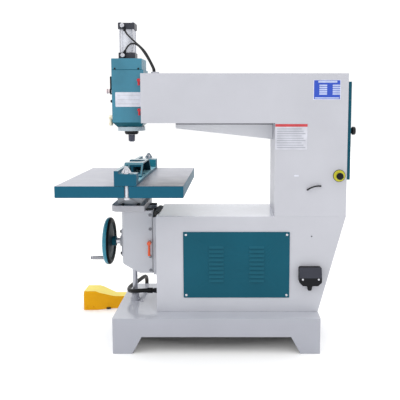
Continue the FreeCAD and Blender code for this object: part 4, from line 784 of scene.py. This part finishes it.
caps_low, caps_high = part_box("cylinder_end_caps")
caps_inset = 0.008
bolts = Shape()
for x in inset(caps_low.x, caps_high.x, caps_inset):
    for y in inset(caps_low.y, caps_high.y, caps_inset):
        bolts.hexagon((x, y, caps_high.z), UP, radius=0.0065, height=0.005)
bolts.done("tie_rod_nuts", "frame", BRIGHT, FINE_BEVEL)
fitting_x = -0.438
fitting_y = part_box("air_fittings")[0].y
fitting_levels = (1.4985, 1.3615)
bolts = Shape()
for z in fitting_levels:
    bolts.screw((fitting_x, fitting_y, z), NEAR, radius=0.0098, height=0.007)
bolts.done("fitting_nuts", "frame", BRIGHT)

start_low, start_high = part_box("start_button")
start_at = (start_low + start_high) / 2
cap_radius = 0.0122
button = Shape()
button.lathe((start_low.x, start_at.y, start_at.z), FRONT,
             [(0, 0.007), (0.009, 0.007), (cap_radius, 0.0045), (cap_radius, 0.0005), (0.0095, -SEAT)])
button.done("start_cap", "start_push", BLUSH)
switch_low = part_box("switch_box")[0]
# A black collar round the start button, which also stands in for the shadow below the button.
collar_in = 0.011
collar_out = 0.0155
collar = Shape()
collar.lathe((switch_low.x, start_at.y, start_at.z), FRONT,
             [(collar_in, -SEAT), (collar_in, 0.006), (0.0135, 0.006), (collar_out, 0.004),
              (collar_out, -SEAT)])
collar.done("start_collar_and_shadow", "frame", BLACK)

nozzle_low, nozzle_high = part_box("blow_nozzle")
tap_x = (nozzle_low.x + nozzle_high.x) / 2 - 0.004
tap_y = (nozzle_low.y + nozzle_high.y) / 2
tap_foot = 1.034
tap_profile = ((0, 0), (0.008, 0), (0.010, 0.003), (0.010, 0.013), (0.007, 0.016), (0.007, 0.036),
               (0.0045, 0.038), (0.0045, 0.044), (0, 0.044))
tap_lever = ((0.001, 0, 1.0765), (0.010, -0.003, 1.081), (0.020, -0.006, 1.085))
tap = Shape()
tap.lathe((tap_x, tap_y, tap_foot), UP, tap_profile)
tap.sweep([(tap_x + along, tap_y + out, z) for along, out, z in tap_lever], radius=0.0025)
tap.done("nozzle_tap", "frame", BRASS)

ring_low, ring_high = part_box("stop_ring")
ring_at = (ring_low + ring_high) / 2
ring_radius = (ring_high.x - ring_low.x) / 2
seal_in = ring_radius - 0.001
seal_out = ring_radius + 0.0022
seal_top = 0.003
edge = Shape()
edge.lathe((ring_at.x, face_y, ring_at.z), NEAR,
           [(seal_in, -SEAT), (seal_out, -SEAT), (seal_out, 0.002), (ring_radius + 0.0012, seal_top),
            (seal_in, seal_top)], RING_ROUND)
edge.done("stop_ring_seal", "frame", BLACK)


# Plates: bare, or with plain bands

PLATE_RISE = 0.0014
PLATE_CORNER = 0.004
BAND_FOOT = 0.0013
BAND_RISE = 0.0018
BAND_STEP = 0.0005
BAND_CORNER = 0.0008


def plate(name, low, high, y, material, bands):
    """A plate on a near face. Each layer of bands has a material, and its bands are given as left, bottom,
    right and top in shares of the plate."""
    base = Shape()
    base.slab((low[0], y - PLATE_RISE, low[1]), (high[0], y + SEAT, high[1]), ALONG_Y, PLATE_CORNER)
    base.done(name, "frame", material, FINE_BEVEL)
    wide = high[0] - low[0]
    tall = high[1] - low[1]
    for index, (tint, spots) in enumerate(bands):
        band = Shape()
        rise = BAND_STEP * index
        for left, bottom, right, top in spots:
            band.slab((low[0] + wide * left, y - BAND_RISE - rise, low[1] + tall * bottom),
                      (low[0] + wide * right, y - BAND_FOOT - rise, low[1] + tall * top),
                      ALONG_Y, BAND_CORNER)
        band.done(f"{name}_band_{index}", "frame", tint)


CELL_ROWS = 5
CELL_FIRST = 0.26
CELL_PITCH = 0.105
CELL_TALL = 0.075
CELL_SPANS = ((0.22, 0.50), (0.70, 0.97))
cells = [(0.18, 0.85, 0.86, 0.95)]
for row in range(CELL_ROWS):
    cell_low = CELL_FIRST + row * CELL_PITCH
    for left, right in CELL_SPANS:
        cells.append((left, cell_low, right, cell_low + CELL_TALL))
cells.append((0.06, 0.07, 0.94, 0.13))
plate("blue_plate", (0.437, 1.1545), (0.562, 1.2455), face_y, WHITE, (
    (BLUE, ((0.03, 0.04, 0.97, 0.97),)), (PALE_BLUE, cells)))

LINE_COUNT = 9
LINE_PITCH = 0.09
LINE_SPAN = (0.05, 0.94)
LINE_RAG = 0.06
LINE_FIRST = (0.07, 0.10)
lines = []
for row in range(LINE_COUNT):
    rise = row * LINE_PITCH
    line_end = LINE_SPAN[1] - LINE_RAG * (row % 3)
    lines.append((LINE_SPAN[0], LINE_FIRST[0] + rise, line_end, LINE_FIRST[1] + rise))
plate("notice_plate", (0.268, 0.930), (0.414, 1.047), face_y, PAPER, (
    (CRIMSON, ((0.0, 0.89, 1.0, 0.995),)), (RULE, lines)))

casing_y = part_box("head_casing")[0].y
plate("head_plate", (-0.474, 1.123), (-0.350, 1.191), casing_y, WHITE, (
    (PAPER, ((0.08, 0.76, 0.92, 0.82), (0.08, 0.46, 0.92, 0.52), (0.08, 0.18, 0.92, 0.24))),))


# Plugs, hook, welds and apron of the column

PANEL_PLUG = (0.4405, 0.5274)
COLUMN_PLUG = ((0.356, 0.8065), (0.377, 0.8145))
HOOK_ROUTE = (
    (0.4166, 0.003, 0.7442), (0.4178, -0.006, 0.7460), (0.4240, -0.011, 0.7520), (0.4360, -0.013, 0.7580),
    (0.4520, -0.013, 0.7630), (0.4670, -0.011, 0.7645), (0.4770, -0.006, 0.7630), (0.4795, 0.003, 0.7615),
)
plug = Shape()
plug.lathe((PANEL_PLUG[0], face_y, PANEL_PLUG[1]), NEAR,
           [(0, 0.001), (0.0012, 0.001), (0.0014, 0.002), (0.0024, 0.002), (0.003, 0.001), (0.003, -SEAT)])
plug.done("panel_plug", "frame", SLATE)
plug_low, plug_high = COLUMN_PLUG
plug_rise = 0.0012
plug = Shape()
plug.slab((plug_low[0], face_y - plug_rise, plug_low[1]), (plug_high[0], face_y + SEAT, plug_high[1]),
          ALONG_Y, corner=0.003)
plug.done("column_plug", "frame", WHITE, FINE_BEVEL)
hook = Shape()
hook.sweep([(x, face_y + out, z) for x, out, z in HOOK_ROUTE], radius=0.0036)
hook.done("cable_hook", "frame", BLACK_STEEL)

# Weld beads along the gusset's top, which also paint the shadow under the arm's edge.
gusset_low, gusset_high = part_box("arm_gusset")
weld_out = 0.0025
weld_tall = 0.013
weld_end = 0.001
weld = Shape()
for y, out in ((gusset_low.y, -weld_out), (gusset_high.y, weld_out)):
    near, far = proud(y, out)
    weld.slab((gusset_low.x + weld_end, near, gusset_high.z - weld_tall),
              (gusset_high.x - weld_end, far, gusset_high.z + SEAT), ALONG_X, corner=0.001)
weld.done("gusset_welds_and_shadow", "frame", WELD, FINE_BEVEL)

way_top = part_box("vertical_way")[1].z
pedestal_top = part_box("pedestal")[1].z
apron_half = 0.085
apron_front = -0.3035
apron_back = -0.2812
apron_low = way_top + 0.001
lap_back = -0.275
lap_low = pedestal_top + 0.0002
rib_front = -0.327
rib_back = -0.3036
rib_half = 0.037
rib_top = way_top + 0.021
apron = Shape()
apron.extrude([(apron_front, apron_low), (apron_back, apron_low), (apron_back, lap_low), (lap_back, lap_low),
               (lap_back, pedestal_top + 0.005), (-0.288, pedestal_top + 0.009),
               (-0.3, pedestal_top + 0.006), (apron_front, pedestal_top - 0.004)], -apron_half, apron_half)
apron.slab((rib_front, -rib_half, way_top - SEAT), (rib_back, rib_half, rib_top), ALONG_Z, corner=0.003)
apron.done("way_apron", "frame", RUBBER, RUBBER_BEVEL)


# Knee

knee_low, knee_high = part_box("knee_body")
gib_seam = (-0.3093, -0.3077)
gib_rise = 0.0006
gib_end = 0.002
gib_screw_x = -0.3185
gib_levels = (0.612, 0.544, 0.411, 0.344)
seam = Shape()
seam.slab((gib_seam[0], knee_low.y - gib_rise, knee_low.z + gib_end),
          (gib_seam[1], knee_low.y + SEAT, knee_high.z - gib_end), ALONG_Y, corner=0.0004)
seam.done("gib_seam", "knee", BLACK)
screws = Shape()
for z in gib_levels:
    screws.screw((gib_screw_x, knee_low.y, z), NEAR, radius=0.007, height=0.005)
screws.done("gib_screws", "knee", STEEL)

bearing_low, bearing_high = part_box("bearing_cover")
bearing_inset = 0.013
bearing_face = knee_low.x - 0.012
bolts = Shape()
for y in inset(bearing_low.y, bearing_high.y, bearing_inset):
    for z in inset(bearing_low.z, bearing_high.z, bearing_inset):
        bolts.screw((bearing_face, y, z), FRONT, radius=0.0075, height=0.007)
bolts.done("bearing_cover_bolts", "knee", BLACK_STEEL)

saddle_low, saddle_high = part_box("table_saddle")
saddle_x = (saddle_low.x + saddle_high.x) / 2
brace_out = 0.003
brace_foot = saddle_low.z + 0.004
brace_head = saddle_low.z + 0.066
foot_span = (0.052, 0.046)
head_span = (0.056, 0.050)
braces = Shape()
for side in (-1, 1):
    for y, out in ((saddle_low.y, -brace_out), (saddle_high.y, brace_out)):
        near, far = proud(y, out)
        braces.extrude([(saddle_x - foot_span[0] * side, brace_foot),
                        (saddle_x - foot_span[1] * side, brace_foot),
                        (saddle_x + head_span[0] * side, brace_head),
                        (saddle_x + head_span[1] * side, brace_head)], near, far)
braces.done("saddle_braces", "knee", PLATE, BEVEL)

plate_low, plate_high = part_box("knee_top_plate")
slab_front = plate_high.x + 0.001
slab_back = -0.3058
slab_top = knee_high.z + 0.007
slab_spans = ((-0.085, -0.058), (0.062, 0.085))
apron = Shape()
for low, high in slab_spans:
    apron.slab((slab_front, low, knee_high.z - SEAT), (slab_back, high, slab_top), ALONG_Z, corner=0.002)
apron.done("knee_apron", "knee", RUBBER, RUBBER_BEVEL)
plate_inset = 0.016
plate_rows = (plate_low.x + 0.056, plate_high.x - 0.03)
bolts = Shape()
for y in inset(plate_low.y, plate_high.y, plate_inset):
    for x in plate_rows:
        bolts.screw((x, y, plate_high.z), UP, radius=0.008, height=0.008)
bolts.done("plate_bolts", "knee", BLACK_STEEL)


# Handwheel and fence

nut_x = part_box("pinion_shaft")[0].x + 0.0005
nut = Shape()
nut.hexagon((nut_x, 0, wheel_z), FRONT, radius=0.014, height=0.008)
nut.done("wheel_nut", "wheel", STEEL, BEVEL)
collar_length = bearing_low.x - wheel_high.x
collar_end = collar_length - 0.001
collar_step = (collar_length * 0.6, collar_length * 0.7)
collar_bore = 0.0112
collar_large = 0.0145
collar_small = 0.0135
collar = Shape()
collar.lathe((wheel_high.x, 0, wheel_z), REAR,
             [(collar_bore, -SEAT), (collar_large, -SEAT), (collar_large, collar_step[0]),
              (collar_small, collar_step[1]), (collar_small, collar_end), (collar_bore, collar_end)],
             LARGE_ROUND)
collar.done("shaft_collar", "wheel", BRIGHT)

fence_bolt_x = fence_low.x + 0.055
fence_bolt_z = fence_low.z + 0.012
fence_bolts = (-0.235, -0.19, 0.19, 0.235)
bolts = Shape()
for y in fence_bolts:
    bolts.screw((fence_bolt_x, y, fence_bolt_z), UP, radius=0.006, height=0.006)
bolts.done("fence_bolts", "fence", BLACK_STEEL)
studs_low, studs_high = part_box("fence_studs")
stud_x = (studs_low.x + studs_high.x) / 2
stud_places = (-0.336, 0.336)
sleeve_foot = table_top - 0.052
sleeve_profile = ((0.0062, SEAT), (0.0082, SEAT), (0.0088, 0.002), (0.0088, 0.0495), (0.0082, 0.0512),
                  (0.0062, 0.0512))
sleeves = Shape()
for y in stud_places:
    sleeves.lathe((stud_x, y, sleeve_foot), UP, sleeve_profile, LARGE_ROUND)
sleeves.done("stud_sleeves", "knee", BARREL)


# Foot switch and its conduit

tread_low, tread_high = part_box("pedal_tread")
tread_y = (tread_low.y + tread_high.y) / 2
tread_axis = tread_high.x - 0.005
tread_foot = 0.016
tread_thick = 0.008
tread_slope = 20 / 170
rib_count = 9
rib_first = tread_low.x + 0.010
rib_pitch = 0.013
rib_sunk = 0.0006
rib_tall = 0.0022
rib_wide = 0.006
rib_crest = (0.005, 0.001)
rib_reach = 0.024
pad = Shape()
for step in range(rib_count):
    x = rib_first + step * rib_pitch
    z = tread_foot + (tread_axis - x) * tread_slope + tread_thick
    outline = [(x, z - rib_sunk), (x + rib_wide, z - rib_sunk - rib_wide * tread_slope)]
    outline += [(x + along, z + rib_tall - along * tread_slope) for along in rib_crest]
    pad.extrude(outline, tread_y - rib_reach, tread_y + rib_reach)
pad.done("tread_ribs", "pedal", RUBBER, RIB_BEVEL)

sleeve_at = (-0.3145, -0.062, 0.234)
sleeve_profile = ((0.0103, 0), (0.0125, 0), (0.0130, 0.001), (0.0130, 0.022), (0.0118, 0.026),
                  (0.0103, 0.026))
sleeve = Shape()
sleeve.lathe(sleeve_at, FRONT, sleeve_profile, LARGE_ROUND)
sleeve.done("conduit_sleeve", "frame", CONDUIT)

base_plug = (-0.375, -0.021)
plug = Shape()
plug.screw((*base_plug, base_high.z), UP, radius=0.0085, height=0.004)
plug.done("base_plug", "frame", BRIGHT)

guard_low, guard_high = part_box("pedal_guard")
guard_screw_z = 0.016
guard_rows = (guard_low.x + 0.016, guard_low.x + 0.052)
screws = Shape()
for x in guard_rows:
    for y, axis in ((guard_low.y, NEAR), (guard_high.y, AWAY)):
        screws.screw((x, y, guard_screw_z), axis, radius=0.005, height=0.0035)
screws.done("guard_screws", "frame", PEDAL)
sill_front = guard_low.x - 0.002
sill_back = guard_low.x + 0.006
sill_top = 0.004
sill_inset = 0.006
rim = Shape()
rim.extrude([(sill_front, 0.0), (sill_back, 0.0), (sill_back, sill_top), (sill_front, sill_top)],
            *inset(guard_low.y, guard_high.y, sill_inset))
rim.done("guard_sill", "frame", RUBBER, SILL_BEVEL)
foot_long = 0.0055
foot_half = 0.008
foot_tall = 0.009
foot_rows = (-0.626, -0.6185, -0.611)
foot_sides = (0.3235, 0.4165)
feet = Shape()
for x in foot_rows:
    for y in foot_sides:
        feet.slab((x, y - foot_half, 0.0), (x + foot_long, y + foot_half, foot_tall), ALONG_Z, corner=0.0015)
feet.done("guard_feet", "frame", RUBBER, SILL_BEVEL)


# Light and floor

world = bpy.data.worlds.new("studio")
scene.world = world
world.use_nodes = True
sky = world.node_tree
background = sky.nodes["Background"]
background.inputs["Color"].default_value = WHOLE
direction = sky.nodes.new("ShaderNodeTexCoord")
split = sky.nodes.new("ShaderNodeSeparateXYZ")
sky.links.new(direction.outputs["Generated"], split.inputs["Vector"])
above = sky.nodes.new("ShaderNodeMapRange")
above.clamp = True
above.inputs["To Max"].default_value = 0.5
sky.links.new(split.outputs["Z"], above.inputs["Value"])
behind = sky.nodes.new("ShaderNodeMapRange")
behind.inputs["From Min"].default_value = -1
behind.inputs["To Min"].default_value = 0.95
behind.inputs["To Max"].default_value = 1.06
sky.links.new(split.outputs["Y"], behind.inputs["Value"])
total = sky.nodes.new("ShaderNodeMath")
sky.links.new(above.outputs["Result"], total.inputs[0])
sky.links.new(behind.outputs["Result"], total.inputs[1])
sky.links.new(total.outputs["Value"], background.inputs["Strength"])

floor_mesh = bpy.data.meshes.new("floor")
floor_corners = ((-9, -6, 0), (9, -6, 0), (9, 12, 0), (-9, 12, 0))
floor_mesh.from_pydata(floor_corners, [], [(0, 1, 2, 3)])
floor_finish = Finish("floor_white", specular=0.1)
floor_finish.colour(floor_finish.ramp(floor_finish.noise(FLOOR_SCALE), (LOW_STOP, FLOOR_SHADES[0]),
                                      (HIGH_STOP, FLOOR_SHADES[1])))
floor_finish.shader.inputs["Roughness"].default_value = 0.9
# The floor glows faintly and evenly, except under the base, where the glow falls away as a painted shadow.
base_x = (base_low.x + base_high.x) / 2
shadow_reach = (0.60, 0.23)
shadow_stop = 0.4
base_shadow_spot = floor_finish.spot((base_x, 0), shadow_reach)
glow_with_shadow = floor_finish.ramp(base_shadow_spot, (0.0, WHOLE), (shadow_stop, BLANK))
floor_finish.link(glow_with_shadow, floor_finish.shader.inputs["Emission Color"])
floor_finish.shader.inputs["Emission Strength"].default_value = 0.13
floor_mesh.materials.append(floor_finish.material)
floor = bpy.data.objects.new("floor", floor_mesh)
floor.location.z = -0.0005
scene.collection.objects.link(floor)

lamp_target = Vector((0.1, 0, 0.8))
lamp_data = bpy.data.lights.new("softbox", "AREA")
lamp_data.energy = 12
lamp_data.size = 2.0
lamp = bpy.data.objects.new("softbox", lamp_data)
lamp.location = (-2.4, -1.0, 2.6)
lamp.rotation_euler = (lamp_target - lamp.location).to_track_quat("-Z", "Y").to_euler()
scene.collection.objects.link(lamp)

scene.view_settings.view_transform = "Standard"
scene.view_settings.look = "None"

bpy.context.view_layer.update()
